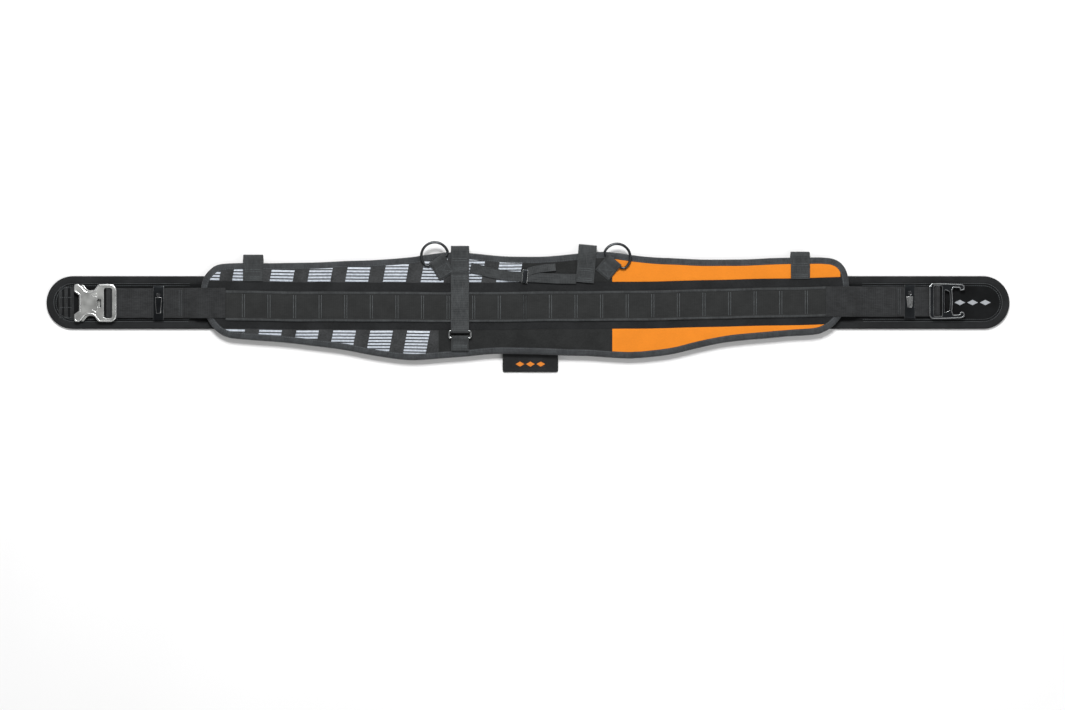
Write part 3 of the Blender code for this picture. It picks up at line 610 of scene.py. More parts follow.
MAT = {
    "liner": air_mesh("liner_mesh", "#121314"),
    "rim": cloth("liner_rim_cloth", "#202122", (0.8, 0.8), 0.1),
    "pad": air_mesh("pad_back_mesh", "#1c1d1e"),
    "binding": webbing("binding_tape", "#393b3d", 1.3, 0.7, 0.22, swap=True),
    "panel": cloth("panel_cloth", "#232424", (1.0, 1.0), 0.12),
    "band": cloth("band_cloth", "#1f2021", (1.2, 0.8), 0.12),
    "striped": cloth("striped_panel_cloth", "#343536", (1.1, 1.1), 0.14, patchy=0.4),
    "silver": print_silver("reflective_print"),
    "orange": cloth("orange_cloth", "#d67c20", (0.8, 0.8), 0.1, 0.8, 0.02, 0.05),
    "row": webbing("row_webbing", "#262727", 1.6, 0.9, 0.2, contrast=0.25),
    "piping": webbing("row_piping", "#383a3b", 1.2, 0.7, 0.15, swap=True),
    "web": webbing("belt_webbing", "#2b2c2d", 1.7, 0.9, 0.3),
    "loop": webbing("loop_webbing", "#383a3b", 1.5, 0.8, 0.28),
    "flap": webbing("flap_webbing", "#3c3e3f", 1.6, 0.9, 0.32),
    "thread": webbing("bonded_thread", "#5c6062", 0.5, 0.4, 0.08),
    "steel": metal("cast_silver_metal", "#a3a4a2", 0.36, grain=0.035),
    # Painted highlights: lighter metals for bevels, lips and plate edges, standing in for the light
    # caught on rounded edges.
    "edge": metal("painted_highlight_edge", "#d4d5d4", 0.25, grain=0.01),
    "dark_edge": metal("painted_highlight_dark_edge", "#8e9091", 0.25, grain=0.01),
    "bright": metal("polished_steel", "#8f9191", 0.22, grain=0.01),
    "dark": metal("worn_black_metal", "#26282a", 0.3),
    "black_ring": metal("dark_ring_metal", "#3f4143", 0.28),
    "tag": cloth("tag_cloth", "#1d1e1f", (0.7, 0.7), 0.06, 0.6),
    "grey_mark": cloth("grey_mark_print", "#9a9da1", (0.5, 0.5), 0.04, 0.7, 0.02, 0.1),
    "mark": cloth("tag_mark_print", "#cf7a2c", (0.5, 0.5), 0.04, 0.7, 0.02, 0.1),
}


# ------------------------------------------------------------------ liner
LINER_CORE = LINER_END - LINER_HALF     # half length between the centres of its round ends
RIM_WIDTH = 12.5


def liner_depth(points):
    dx = np.abs(points[:, 0]) - LINER_CORE
    return LINER_HALF - np.hypot(np.clip(dx, 0, None), points[:, 1])


def liner_face(x, y):
    """Height of the liner's face: a taped rim, a sewn groove and a softly quilted middle."""
    depth = liner_depth(np.column_stack([x, y]))
    rim = 0.45 * np.sin(np.clip(depth / RIM_WIDTH, 0, 1) * math.pi)
    groove = 1.1 * np.exp(-((depth - RIM_WIDTH) / 1.4) ** 2)
    inner = 0.5 * np.clip((depth - RIM_WIDTH) / 14, 0, 1) ** 0.5
    ripple = 0.16 * np.sin(x / 9.0 + 1.2 * np.sin(x / 31.0)) * np.exp(-((depth - RIM_WIDTH) / 6) ** 2)
    return rim - groove + np.where(depth > RIM_WIDTH, inner, 0) + ripple


def liner_top(x, y):
    return LINER_TOP - 0.6 + liner_face(x, y)


def liner_back(x, y):
    return 0.35 - 0.3 * np.clip(liner_face(x, y), -1.2, 1.0)


def build_liner():
    turn = np.radians(np.linspace(1.5, 90, 18))
    round_end = LINER_CORE + LINER_HALF * np.cos(turn)
    mid_left, mid_right = ((SEAM[side] + TAIL[side]) / 2 for side in SIDES)
    pieces = (("liner_left_tail", None, mid_left, ("liner_left_end",), tail_bend),
              ("liner_left_middle", mid_left, 0.0, ("liner_left", "liner_centre"), seam_bend),
              ("liner_right_middle", 0.0, mid_right, ("liner_right",), seam_bend),
              ("liner_right_tail", mid_right, None, ("liner_right_end",), tail_bend))
    for name, west, east, nodes, bend_piece in pieces:
        x0 = -round_end[-1] if west is None else west
        x1 = round_end[-1] if east is None else east
        xs = np.linspace(x0, x1, int((x1 - x0) / COLUMN) + 1)
        if west is None:
            xs = np.concatenate([-round_end[:-1], xs])
        if east is None:
            xs = np.concatenate([xs, round_end[::-1][1:]])
        beyond = np.clip(np.abs(xs) - LINER_CORE, 0, None)
        half = np.sqrt(np.clip(LINER_HALF ** 2 - beyond ** 2, 1e-4, None))
        obj = slab(name, xs, -half, half, liner_top, liner_back, (MAT["rim"], MAT["liner"]),
                   middle=28, depth=liner_depth, roll=2.6,
                   pick=lambda c: (liner_depth(c[:, :2]) > RIM_WIDTH).astype(int))
        bend_piece(obj, name.split("_")[1])
        settle(obj, nodes=nodes)


def on_liner(points):
    points = np.asarray(points, float)
    return np.column_stack([points, LINER_TOP - 0.5 + liner_face(points[:, 0], points[:, 1])])


TAPE_ENDS = (-700.0, -679.5)            # sewn tape on the left tail, along x
TAPE_ROWS = (22.2, 7.4, -7.4, -22.2)
TAPE_RIBS = (-698.5, -690.0, -681.0)
TAPE_HALF = 23.5
SEAM_START = 13.0                       # rim seams start this far outside the tail's hinge
LINER_MARK_X = 664.0


def build_liner_sewing():
    """Rim seams that show outside the pad, the left end's sewn tape and the right end's mark."""
    for side in SIDES:
        sign = SIGN[side]
        stop = TAIL[side] + sign * SEAM_START
        rows = []
        for depth in (RIM_WIDTH - 1.4, RIM_WIDTH + 1.9):
            radius = LINER_HALF - depth
            turn = [(sign * (LINER_CORE + radius * math.cos(a)), radius * math.sin(a))
                    for a in np.linspace(math.pi / 2, -math.pi / 2, 31)]
            rows.append(on_liner(resample([(stop, radius), *turn, (stop, -radius)], 3.0)))
        if side == "left":
            rows += [on_liner(resample([(x, y) for x in TAPE_ENDS], 3.0)) for y in TAPE_ROWS]
        sewn = stitches(f"liner_stitch_{side}", rows, MAT["thread"], 3.1, 2.2, 0.34)
        settle(sewn, side + "_tail")
    for i, x in enumerate(TAPE_RIBS):
        line = on_liner(resample([(x, -TAPE_HALF), (x, TAPE_HALF)], 2.0))
        rib = strap(f"liner_tape_{i}", line, 5.6, 0.5, MAT["web"], side=(1, 0, 0), step=4.0)
        settle(rib, "left_tail")
    mark = diamonds("liner_mark", (LINER_MARK_X, 0.0), 19.0, (8.0, 4.0),
                    lambda x, y: LINER_TOP - 0.55 + liner_face(x, y), MAT["grey_mark"])
    settle(mark, "right_tail")


def diamonds(name, centre, spacing, half, height, material):
    """A row of three printed diamonds."""
    verts, faces, uvs = [], [], []
    for i in (-1, 0, 1):
        cx, cy = centre[0] + i * spacing, centre[1]
        faces += tube_faces(2, 4, len(verts))
        for lift in (0.12, -0.3):
            for dx, dy in ((-half[0], 0), (0, -half[1]), (half[0], 0), (0, half[1])):
                z = height(np.array([cx + dx]), np.array([cy + dy]))[0]
                verts.append((cx + dx, cy + dy, z + lift))
                uvs.append((cx + dx, cy + dy))
    return make_object(name, verts, faces, uvs, [material])


# ------------------------------------------------------------------ pad, panels and binding
def face_puff(low, high, y, rise):
    """A sewn-down panel's swelling between its two stitched edges."""
    t = np.clip((y - low) / np.maximum(high - low, 0.1), 0, 1)
    size = np.clip((high - low) / 30, 0.1, 1)
    return rise * size * np.clip(4 * t * (1 - t), 0, 1) ** 0.55


PANEL_RING = offset_ring(EDGE, BINDING_WIDTH - 2.0)
PANEL_XS = np.arange(PANEL_RING[:, 0].min() + 0.02, PANEL_RING[:, 0].max(), 0.5)
PANEL_LOWS, PANEL_HIGHS = spans(PANEL_RING, PANEL_XS)


def panel_limits(kind, xs):
    """Lower and upper edge of one kind of panel at each x, with nan beyond its ends."""
    low = np.interp(xs, PANEL_XS, PANEL_LOWS, left=np.nan, right=np.nan)
    high = np.interp(xs, PANEL_XS, PANEL_HIGHS, left=np.nan, right=np.nan)
    if kind == "upper":
        return row_y(xs) + BAND_UP, high
    if kind == "lower":
        return low, row_y(xs) + BAND_DOWN
    return np.maximum(low, row_y(xs) + BAND_DOWN), np.minimum(high, row_y(xs) + BAND_UP)


PUFF = {"upper": 1.0, "lower": 1.0, "band": 0.5}


def face_height(kind, x, y):
    """Height of the panel surface at points of one kind of panel."""
    low, high = panel_limits(kind, x)
    wrinkle = 0.18 * np.sin(x / 13.0 + y / 7.0) * np.sin(x / 29.0 - y / 11.0)
    return PANEL_TOP - 0.5 + face_puff(low, high, y, PUFF[kind]) + wrinkle


def usable(kind, x0, x1):
    """Columns of a panel, kept where it is wide enough to sew."""
    xs = np.linspace(x0, x1, int((x1 - x0) / COLUMN) + 1)
    low, high = panel_limits(kind, xs)
    good = np.isfinite(low) & np.isfinite(high) & (high - low > 0.6)
    return xs[good]


def build_panel(name, kind, x0, x1, look, nodes, side):
    xs = usable(kind, x0, x1)
    low, high = panel_limits(kind, xs)
    obj = slab(name, xs, low, high, lambda x, y: face_height(kind, x, y),
               lambda x, y: face_height(kind, x, y) - 0.7, [MAT[look]], middle=12, roll=0.5)
    if side in SIDES:
        seam_bend(obj, side)
        settle(obj, nodes=nodes)
    else:
        settle(obj, "back_panel", nodes)


SPLIT_X = -4.6                # middle bartack of the equipment row, where long pieces are joined
CENTRE_LEFT = node_box("reflective_upper_centre")[1][0] + 0.15
CENTRE_RIGHT = node_box("orange_upper_centre")[0][0] - 0.15
STRIPES_END = -9.0            # upper striped cloth runs on behind the straps


PAD_END_STEPS = np.array([0.15, 0.6, 1.4, 2.6, 4.2, 6.5])      # mesh columns in from a pad end
PANEL_INSET = 6.0


def nodes_of(kind, side, centre, centre_side):
    """A side's CAD node, and the centre one for the side that also covers the middle."""
    return (f"{kind}_{side}", *([centre] if side == centre_side else []))


def build_pad():
    ring = offset_ring(EDGE, PAD_WALL)

    def depth(points):
        return distance_to(ring, points)

    def top(x, y):
        return np.full(len(x), PAD_HIGH)

    def bottom(x, y):
        beyond = np.clip((np.abs(y) - LINER_HALF - 2) / 12, 0, 1)
        return PAD_LOW - 1.1 * beyond

    for side in SIDES:
        end = ring[:, 0].min() if side == "left" else ring[:, 0].max()
        near = end - SIGN[side] * PAD_END_STEPS
        body = np.linspace(near[-1], SPLIT_X, int(abs(near[-1] - SPLIT_X) / COLUMN) + 1)
        xs = np.sort(np.concatenate([near[:-1], body]))
        low, high = spans(ring, xs)
        obj = slab("pad_body_" + side, xs, low, high, top, bottom, [MAT["pad"]], middle=16,
                   depth=depth, roll=2.5)
        seam_bend(obj, side)
        settle(obj, nodes=nodes_of("pad", side, "pad_centre", "left"))


def build_panels():
    west, east = PAD_END["left"] + PANEL_INSET, PAD_END["right"] - PANEL_INSET
    black_east = CENTRE_RIGHT - 0.2
    for level, striped_end, black_west in (("upper", STRIPES_END, STRIPES_END + 0.2),
                                           ("lower", CENTRE_LEFT, CENTRE_LEFT + 0.2)):
        build_panel(f"striped_{level}_cloth", level, west, striped_end, "striped",
                    (f"reflective_{level}_left", f"reflective_{level}_centre"), "left")
        build_panel(f"orange_{level}_cloth", level, CENTRE_RIGHT, east, "orange",
                    (f"orange_{level}_right", f"orange_{level}_centre"), "right")
        build_panel(f"black_{level}_cloth", level, black_west, black_east, "panel",
                    ("panel_centre",), "centre")
    build_panel("band_cloth_left", "band", west - 3, SPLIT_X, "band", ("band_left",), "left")
    build_panel("band_cloth_right", "band", SPLIT_X, east + 3, "band", ("band_right",),
                "right")


def binding_profile():
    """Section of folded tape: (distance in from the edge, height)."""
    top, low, w = BIND_HIGH, BIND_LOW, BINDING_WIDTH
    return [(w, top - 0.5), (w - 0.5, top - 0.05), (w - 2.2, top + 0.2), (w / 2, top + 0.35),
            (2.6, top), (1.1, top - 1.0), (0.25, top - 2.8), (0, (top + low) / 2), (0.25, low + 2.8),
            (1.1, low + 1.0), (2.6, low + 0.15), (w / 2, low), (w - 0.5, low + 0.05), (w, low + 0.45),
            (w - 0.3, low + 0.9), (3.0, low + 1.0), (1.35, low + 2.6), (1.2, (top + low) / 2),
            (1.35, top - 2.6), (3.0, top - 0.9), (w - 0.3, top - 0.8)]


def half_ring(ring, side):
    """The open run of a closed anticlockwise ring on one side of the middle split."""
    keep = ring[:, 0] < SPLIT_X if side == "left" else ring[:, 0] > SPLIT_X
    start = next(i for i in range(len(ring)) if keep[i] and not keep[i - 1])
    run = [ring[(start + k) % len(ring)] for k in range(int(keep.sum()))]
    run[0] = np.array([SPLIT_X, run[0][1]])
    run[-1] = np.array([SPLIT_X, run[-1][1]])
    return np.array(run)


def build_binding():
    for side, centre in zip(SIDES, ("binding_centre_top", "binding_centre_bottom")):
        run = half_ring(EDGE, side)
        inward = leftward(run)
        for i in (0, -1):
            inward[i] = (0, 1 / inward[i][1], 0)
        line = np.column_stack([run, np.zeros(len(run))])
        obj = sweep("binding_tape_" + side, line, inward, UPRIGHT, binding_profile(), MAT["binding"])
        seam_bend(obj, side)
        settle(obj, nodes=("binding_" + side, centre))
        seam = half_ring(offset_ring(EDGE, BINDING_WIDTH - 1.6), side)
        line = np.column_stack([seam, np.full(len(seam), BIND_HIGH + 0.12)])
        thread = stitches("binding_stitch_" + side, [line], MAT["thread"], 3.4, 2.4, 0.3)
        seam_bend(thread, side)
        settle(thread)


# ------------------------------------------------------------------ reflective stripes
STRIPE = 2.8
STRIPE_SLANT = 0.185
STRIPE_PITCH = 4.62
STRIPE_ROWS = 9
SLANT_STEP = STRIPE_SLANT * STRIPE
STRIPE_SECTION = ((0, 0, 0.14), (SLANT_STEP / 2, STRIPE / 2, 0.14), (SLANT_STEP, STRIPE, 0.14),
                  (SLANT_STEP, STRIPE, -0.2), (0, 0, -0.2))


def stripe_rows(kind, groups):
    """Pale printed bars in slanted groups; each group is (left x at the band, width)."""
    verts, faces, uvs = [], [], []
    sign = 1 if kind == "upper" else -1
    base_offset = BAND_UP + 1.6 if kind == "upper" else BAND_DOWN - 1.6 - STRIPE
    for left, width in groups:
        for row in range(STRIPE_ROWS):
            shift = sign * row * STRIPE_PITCH
            xs = np.linspace(left, left + width, 9)
            low = row_y(xs) + base_offset + shift
            xs = xs + STRIPE_SLANT * shift
            limit_low, limit_high = panel_limits(kind, xs)
            good = np.isfinite(limit_low) & (low > limit_low - 1.5) & (low + STRIPE < limit_high + 1.5)
            xs, low = xs[good], low[good]
            if len(xs) < 3:
                continue
            faces += tube_faces(len(xs), len(STRIPE_SECTION), len(verts))
            for x, y in zip(xs, low):
                for dx, dy, lift in STRIPE_SECTION:
                    z = face_height(kind, np.array([x + dx]), np.array([y + dy]))[0]
                    verts.append((x + dx, y + dy, z + lift))
                    uvs.append((x + dx, y + dy))
    return make_object(f"reflective_stripes_{kind}", verts, faces, uvs, [MAT["silver"]], angle=30)


def build_stripes():
    upper = [(-474.2, 14.0), (-440.8, 18.0)]
    upper += [(-384.8 + 56.2 * i, 34.0) for i in range(7)]
    lower = [(-455.8 + 55.1 * i, 33.6) for i in range(6)]
    for kind, groups in (("upper", upper), ("lower", lower)):
        obj = stripe_rows(kind, groups)
        seam_bend(obj, "left")
        settle(obj)


# ------------------------------------------------------------------ equipment row
ROW_PITCH = 38.1
PIPE_WIDTH = 3.8
ROW_COLUMN = 3.175            # spacing of the row's mesh columns, a twelfth of its pitch
BARTACKS = [SPLIT_X + ROW_PITCH * i for i in range(-11, 12)]


def row_top(x, y):
    """Webbing row's surface: piped edges and a shallow pocket swelling between bartacks."""
    off = np.abs(y - row_y(x))
    pipe_middle = ROW_HALF - PIPE_WIDTH / 2
    pipe = 1.75 * np.sqrt(np.clip(1 - ((off - pipe_middle) / (PIPE_WIDTH / 2)) ** 2, 0, 1))
    pocket_half = ROW_HALF - PIPE_WIDTH
    cell = ((x - SPLIT_X) / ROW_PITCH) % 1.0
    swell = np.clip(np.sin(cell * math.pi), 0, 1) ** 0.5 * np.clip(1 - (off / pocket_half) ** 4, 0, 1)
    return ROW_HIGH - 2.1 + np.where(off > pocket_half, pipe, 0.35 + 1.25 * swell)


def bartack_lines(x0, x1):
    """A pair of sewn lines across the row at each bartack between x0 and x1."""
    lines = []
    for x in BARTACKS:
        if not x0 - 1 <= x <= x1:
            continue
        ys = np.linspace(-ROW_HALF + PIPE_WIDTH + 1, ROW_HALF - PIPE_WIDTH - 1, 12) + row_y(x)
        for dx in (-1.7, 1.7):
            at = np.full(len(ys), x + dx)
            lines.append(np.column_stack([at, ys, row_top(at, ys) + 0.1]))
    return lines


def build_row():
    for side, x0, x1 in (("left", ROW_END["left"], SPLIT_X), ("right", SPLIT_X, ROW_END["right"])):
        xs = np.linspace(x0, x1, int((x1 - x0) / ROW_COLUMN) + 1)
        low, high = row_y(xs) - ROW_HALF, row_y(xs) + ROW_HALF
        obj = slab("equipment_row_" + side, xs, low, high, row_top,
                   lambda x, y: np.full(len(x), PANEL_TOP + 0.1), [MAT["row"], MAT["piping"]],
                   middle=22, roll=0.8,
                   pick=lambda c: (np.abs(c[:, 1] - row_y(c[:, 0])) > ROW_HALF - PIPE_WIDTH).astype(int))
        seam_bend(obj, side)
        nodes = nodes_of("equipment_webbing", side, "equipment_webbing_centre", "left")
        settle(obj, nodes=nodes)
        tacks = stitches("row_bartacks_" + side, bartack_lines(x0, x1), MAT["thread"], 1.15, 1.3, 0.42,
                         0.15)
        seam_bend(tacks, side)
        settle(tacks)


# ------------------------------------------------------------------ belt webbing
WEB_WIDTH = 45.0
WEB_THICK = 1.5
TURN_WIDTH = WEB_WIDTH - 0.8
TURN_GAP = 0.3                # a strap's clearance from the bar or ring that it turns round
FOLD_TOP = node_box("webbing_fold_left")[1][2]
FOLD_Z = FOLD_TOP - WEB_THICK / 2
FLAT_Z = node_box("webbing_outer_left")[0][2] + WEB_THICK / 2
ON_PAD_Z = node_box("webbing_inner_left")[1][2] - WEB_THICK / 2


def fillet(points, radius, steps=6):
    """A line with its corners rounded off."""
    points = [np.asarray(p, float) for p in points]
    out = [points[0]]
    for before, here, after in zip(points, points[1:], points[2:]):
        into, away = here - before, after - here
        reach = min(radius, np.linalg.norm(into) * 0.48, np.linalg.norm(away) * 0.48)
        a = here - into / np.linalg.norm(into) * reach
        b = here + away / np.linalg.norm(away) * reach
        for t in np.linspace(0, 1, steps):
            out.append(a * (1 - t) ** 2 + here * 2 * t * (1 - t) + b * t ** 2)
    out.append(points[-1])
    return np.array(out)


def cross_lines(x, ys, half, z):
    """Level sewn lines across a strap that runs along y."""
    return [[(x - half, y, z), (x + half, y, z)] for y in ys]


def box_middle(node):
    low, high = node_box(node)
    return (low + high) / 2


def build_belt_webbing(side):
    """Webbing from under the row's end, down off the pad, round the buckle's bar and back."""
    sign = SIGN[side]
    pad_end = PAD_END[side]
    y = box_middle("webbing_outer_" + side)[1]
    split = box_middle("keeper_" + side)[0]
    bar_low, bar_high = node_box("adjuster_bar_" + side)
    bar = (bar_low + bar_high) / 2
    fold_low, fold_high = node_box("webbing_fold_" + side)
    fold_end = fold_high[0] if side == "left" else fold_low[0]
    inner = fillet([(ROW_END[side] + sign * 0.4, y, ON_PAD_Z), (pad_end + sign * 3.0, y, ON_PAD_Z),
                    (pad_end + sign * 14.5, y, FLAT_Z), (split, y, FLAT_Z)], 7.0)
    first = strap(f"belt_webbing_{side}", inner, WEB_WIDTH, WEB_THICK, MAT["web"], even=True, step=1.8)
    tail_bend(first, side)
    settle(first, nodes=("webbing_inner_" + side,))
    reach = (bar_high[2] - bar_low[2]) / 2 + TURN_GAP + WEB_THICK / 2
    turn = np.radians(np.linspace(-96, -350, 22))
    roll = [(bar[0] - sign * reach * math.cos(a), bar[1], bar[2] + reach * math.sin(a)) for a in turn]
    inside = bar[0] - sign * 9.0
    line = [(split, y, FLAT_Z), (inside, y, FLAT_Z), *roll,
            (bar[0] - sign * 5.0, bar[1], FOLD_Z + 0.35), (inside, y, FOLD_Z), (split, y, FOLD_Z)]
    second = strap(f"belt_webbing_turn_{side}", line, TURN_WIDTH, WEB_THICK, MAT["web"],
                   even=True, step=1.3)
    tip_bend(second, side)
    settle(second, nodes=("webbing_outer_" + side, "webbing_roll_" + side))
    third = strap(f"belt_webbing_return_{side}", [(split, y, FOLD_Z), (fold_end, y, FOLD_Z)],
                  TURN_WIDTH, WEB_THICK, MAT["web"])
    settle(third, side + "_tail", ("webbing_fold_" + side,))
    half, top = WEB_WIDTH / 2 - 3, FOLD_TOP + 0.05
    sewn_at = (fold_end + sign * 2.2, fold_end + sign * 5.4)
    rows = [[(x, y - half, top), (x, y + half, top)] for x in sewn_at]
    sewn = stitches(f"belt_webbing_stitch_{side}", rows, MAT["thread"], 2.6, 1.9, 0.3)
    settle(sewn, side + "_tail")


# ------------------------------------------------------------------ suspender loops and tabs
LOOP_THICK = 1.4
RING_RADIUS = 2.0             # half the D-ring wire's thickness
TAB_WIDTH = 26.0
STRAP_RING_RADIUS = 1.75      # half the vertical strap's ring wire


LOOPS = {  # number: (body, tilt in degrees, height of its face, sewn rows in from the pad's edge)
    1: ("left_wing", 0.0, 18.6, (-9.5, -12.5)), 2: ("back_panel", 0.0, 20.3, (-9.5, -12.5)),
    3: ("back_panel", -5.0, 20.3, (-24, -27)), 4: ("right_wing", 0.0, 18.6, (-9.5, -12.5))}
INNER_LOOP_WIDTH = 27.2       # loops 2 and 3
LOOP_TURN = 3.8               # radius of the turn over the pad's edge


def placed_line(points, origin, angle):
    """Local (along, z) points turned into world points from an origin, along a direction."""
    return np.array([(origin[0] + along * math.cos(angle), origin[1] + along * math.sin(angle), z)
                     for along, z in points])


def build_loop(number):
    body, tilt, face, depths = LOOPS[number]
    low, high = node_box(f"suspender_loop_{number}")
    x = (low[0] + high[0]) / 2
    width = INNER_LOOP_WIDTH if number in (2, 3) else high[0] - low[0]
    edge_y = spans(EDGE, np.array([x]))[1][0]
    turn_y = high[1] - 4.5
    back = LINER_TOP - LOOP_THICK / 2
    middle = (face + back) / 2
    turn = [(turn_y + LOOP_TURN * math.cos(a), middle + LOOP_TURN * math.sin(a))
            for a in np.radians(np.linspace(60, -60, 7))]
    leaf_low = low[1] + (2.0 if number == 3 else 0.0)
    points = [(leaf_low, face), (edge_y - 6, face + 0.15), (edge_y + 2.4, face), *turn,
              (edge_y + 3.0, back), (edge_y - 18, back)]
    direction = math.pi / 2 + math.radians(tilt)
    line = placed_line([(y - edge_y, z) for y, z in points], (x, edge_y), direction)
    side = np.array((math.sin(direction), -math.cos(direction), 0))
    obj = strap(f"loop_webbing_{number}", fillet(line, 2.5), width, LOOP_THICK, MAT["loop"],
                side=side, even=True, step=1.6)
    settle(obj, body, (f"suspender_loop_{number}",))
    top = face + LOOP_THICK / 2 + 0.15
    half = side * (width / 2 - 2.5)
    depths = (*depths, leaf_low - edge_y + 3, leaf_low - edge_y + 6)
    middles = placed_line([(depth, top) for depth in depths], (x, edge_y), direction)
    rows = [[at - half, at + half] for at in middles]
    sewn = stitches(f"loop_stitch_{number}", rows, MAT["thread"], 1.5, 1.3, 0.36)
    settle(sewn, body)


def build_d_ring_tab(side):
    joint = JOINTS[side + "_d_ring_swing"]
    origin = np.array(joint["pos_m"]) / MM
    axis = np.array(joint["axis"], float)
    axis /= np.linalg.norm(axis)
    if axis[0] < 0:
        axis = -axis
    down = np.array([axis[1], -axis[0], 0.0])
    leaf = 28.0 if side == "left" else 26.5
    reach = RING_RADIUS + TURN_GAP + LOOP_THICK / 2
    turn = [(-reach * math.sin(a), origin[2] - reach * math.cos(a))
            for a in np.linspace(0, math.pi, 15)]
    low_z = origin[2] - reach
    points = [(leaf, low_z), *turn, (3.2, low_z + 4.6), (7.5, low_z + LOOP_THICK + 0.3),
              (leaf - 1.5, low_z + LOOP_THICK + 0.15)]
    ground = origin * (1, 1, 0)
    line = np.array([ground + down * d + np.array([0, 0, z]) for d, z in points])
    obj = strap(f"ring_tab_{side}", line, TAB_WIDTH, LOOP_THICK, MAT["loop"], side=axis, even=True,
                step=1.1)
    settle(obj, "back_panel", ("d_ring_tab_" + side,))
    top = low_z + 1.5 * LOOP_THICK + 0.35
    near, far, half = 10.0, leaf - 3.5, TAB_WIDTH / 2 - 3.2
    corners = [(near, -half), (far, -half), (far, half), (near, half)]
    at = [ground + down * d + axis * w + np.array([0, 0, top]) for d, w in corners]
    rows = [[at[i], at[k]] for i, k in ((0, 1), (1, 2), (2, 3), (3, 0), (0, 2), (1, 3))]
    sewn = stitches(f"ring_tab_stitch_{side}", rows, MAT["thread"], 2.4, 1.8, 0.33)
    settle(sewn, "back_panel")


# ------------------------------------------------------------------ vertical strap, cross strap
def wrap_turn(x, y, z, radius, sign):
    """Half a turn round a bar along x, from under it to over it; sign picks the side it passes."""
    return [(x, y + sign * radius * math.sin(a), z - radius * math.cos(a))
            for a in np.linspace(0, math.pi, 17)]


def build_vertical_strap():
    low, high = node_box("strap_back_layer")
    x = (low[0] + high[0]) / 2
    width = high[0] - low[0]
    hinge = np.array(JOINTS["front_flap_lift"]["pos_m"]) / MM
    reach = STRAP_RING_RADIUS + TURN_GAP + LOOP_THICK / 2
    row_high, row_low = row_y(x) + ROW_HALF, row_y(x) - ROW_HALF
    on_pad, on_row = 20.1, ROW_HIGH + TURN_GAP + LOOP_THICK / 2
    under = hinge[2] - reach
    back = [(x, 44.7, on_pad), (x, row_high + 5, on_pad), (x, row_high + 0.5, on_row),
            (x, row_low - 0.5, on_row), (x, hinge[1] + 3, under), (x, hinge[1], under)]
    first = strap("strap_back_webbing", fillet(back, 3.0), width, LOOP_THICK, MAT["loop"],
                  side=(1, 0, 0), even=True, step=1.6)
    settle(first, "back_panel", ("strap_back_layer",))
    wrap = strap("strap_turn_webbing", wrap_turn(x, hinge[1], hinge[2], reach, -1), width, LOOP_THICK,
                 MAT["flap"], side=(1, 0, 0), even=True, step=0.8)
    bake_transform(wrap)
    settle(wrap)
    lift = on_row + LOOP_THICK + TURN_GAP
    flap_end = node_box("strap_flap")[1][1]
    front = [(x, hinge[1], hinge[2] + reach), (x, row_low - 1, lift + 0.5), (x, row_high, lift),
             (x, flap_end, lift)]
    flap = strap("strap_flap_webbing", fillet(front, 4.0), width, LOOP_THICK, MAT["flap"],
                 side=(1, 0, 0), even=True, step=1.6)
    settle(flap, "front_flap", ("strap_flap",))
    ends = cross_lines(x, (flap_end - 3, flap_end - 6), width / 2 - 2.5, lift + LOOP_THICK / 2 + 0.05)
    sewn = stitches("strap_flap_stitch", ends, MAT["thread"], 2.2, 1.7, 0.32)
    settle(sewn, "front_flap")
    build_strap_anchor(x, width, hinge[2], reach)


def build_strap_anchor(x, width, z, reach):
    """The short loop that holds the strap's ring to the pad."""
    under = z - reach
    end_y = node_box("strap_anchor_loop")[0][1]
    bar_y = node_box("strap_ring")[0][1] + STRAP_RING_RADIUS
    tail = [(x, end_y, under + 0.1), *wrap_turn(x, bar_y, z, reach, 1),
            (x, bar_y - 4.5, under + LOOP_THICK + 1.4), (x, bar_y - 8.5, under + LOOP_THICK + 0.35),
            (x, end_y + 1, under + LOOP_THICK + 0.2)]
    anchor = strap("strap_anchor_webbing", tail, width - 1, LOOP_THICK, MAT["loop"], side=(1, 0, 0),
                   even=True, step=1.1)
    settle(anchor, "back_panel", ("strap_anchor_loop",))
    top = under + 1.5 * LOOP_THICK + 0.3
    lines = cross_lines(x, (bar_y - 11, bar_y - 13.5), width / 2 - 3, top)
    sewn = stitches("strap_anchor_stitch", lines, MAT["thread"], 1.5, 1.3, 0.36)
    settle(sewn, "back_panel")


CROSS_LINE = ((-85.8, 51.8), (-72, 48.4), (-54, 43.9), (-30, 39.4), (-5, 37.9), (20, 36.6),
              (45, 35.4), (71.6, 34.8))
CROSS_TAIL = ((0.4, 45.6, 0.0), (10, 48.4, 0.1), (24, 50.7, 0.25), (41, 52.4, 0.3))


def build_cross_strap():
    z = box_middle("cross_strap")[2]
    obj = flat_strap("cross_strap_webbing", [(x, y, z) for x, y in CROSS_LINE], 14.8, MAT["loop"])
    settle(obj, "back_panel", ("cross_strap",))
    z = box_middle("strap_tail")[2]
    end = [(x, y, z + lift) for x, y, lift in CROSS_TAIL]
    tail = flat_strap("cross_strap_tail", end, 11.2, MAT["flap"])
    settle(tail, "cross_slider", ("strap_tail",))


# ------------------------------------------------------------------ hanging tag
TAG_CORNER = 3.0
TAG_EDGE_STEPS = np.array([0, 0.5, 1.4])
TAG_HELD = 12.0               # length under the pad, which doesn't droop
TAG_HEM = 4.4


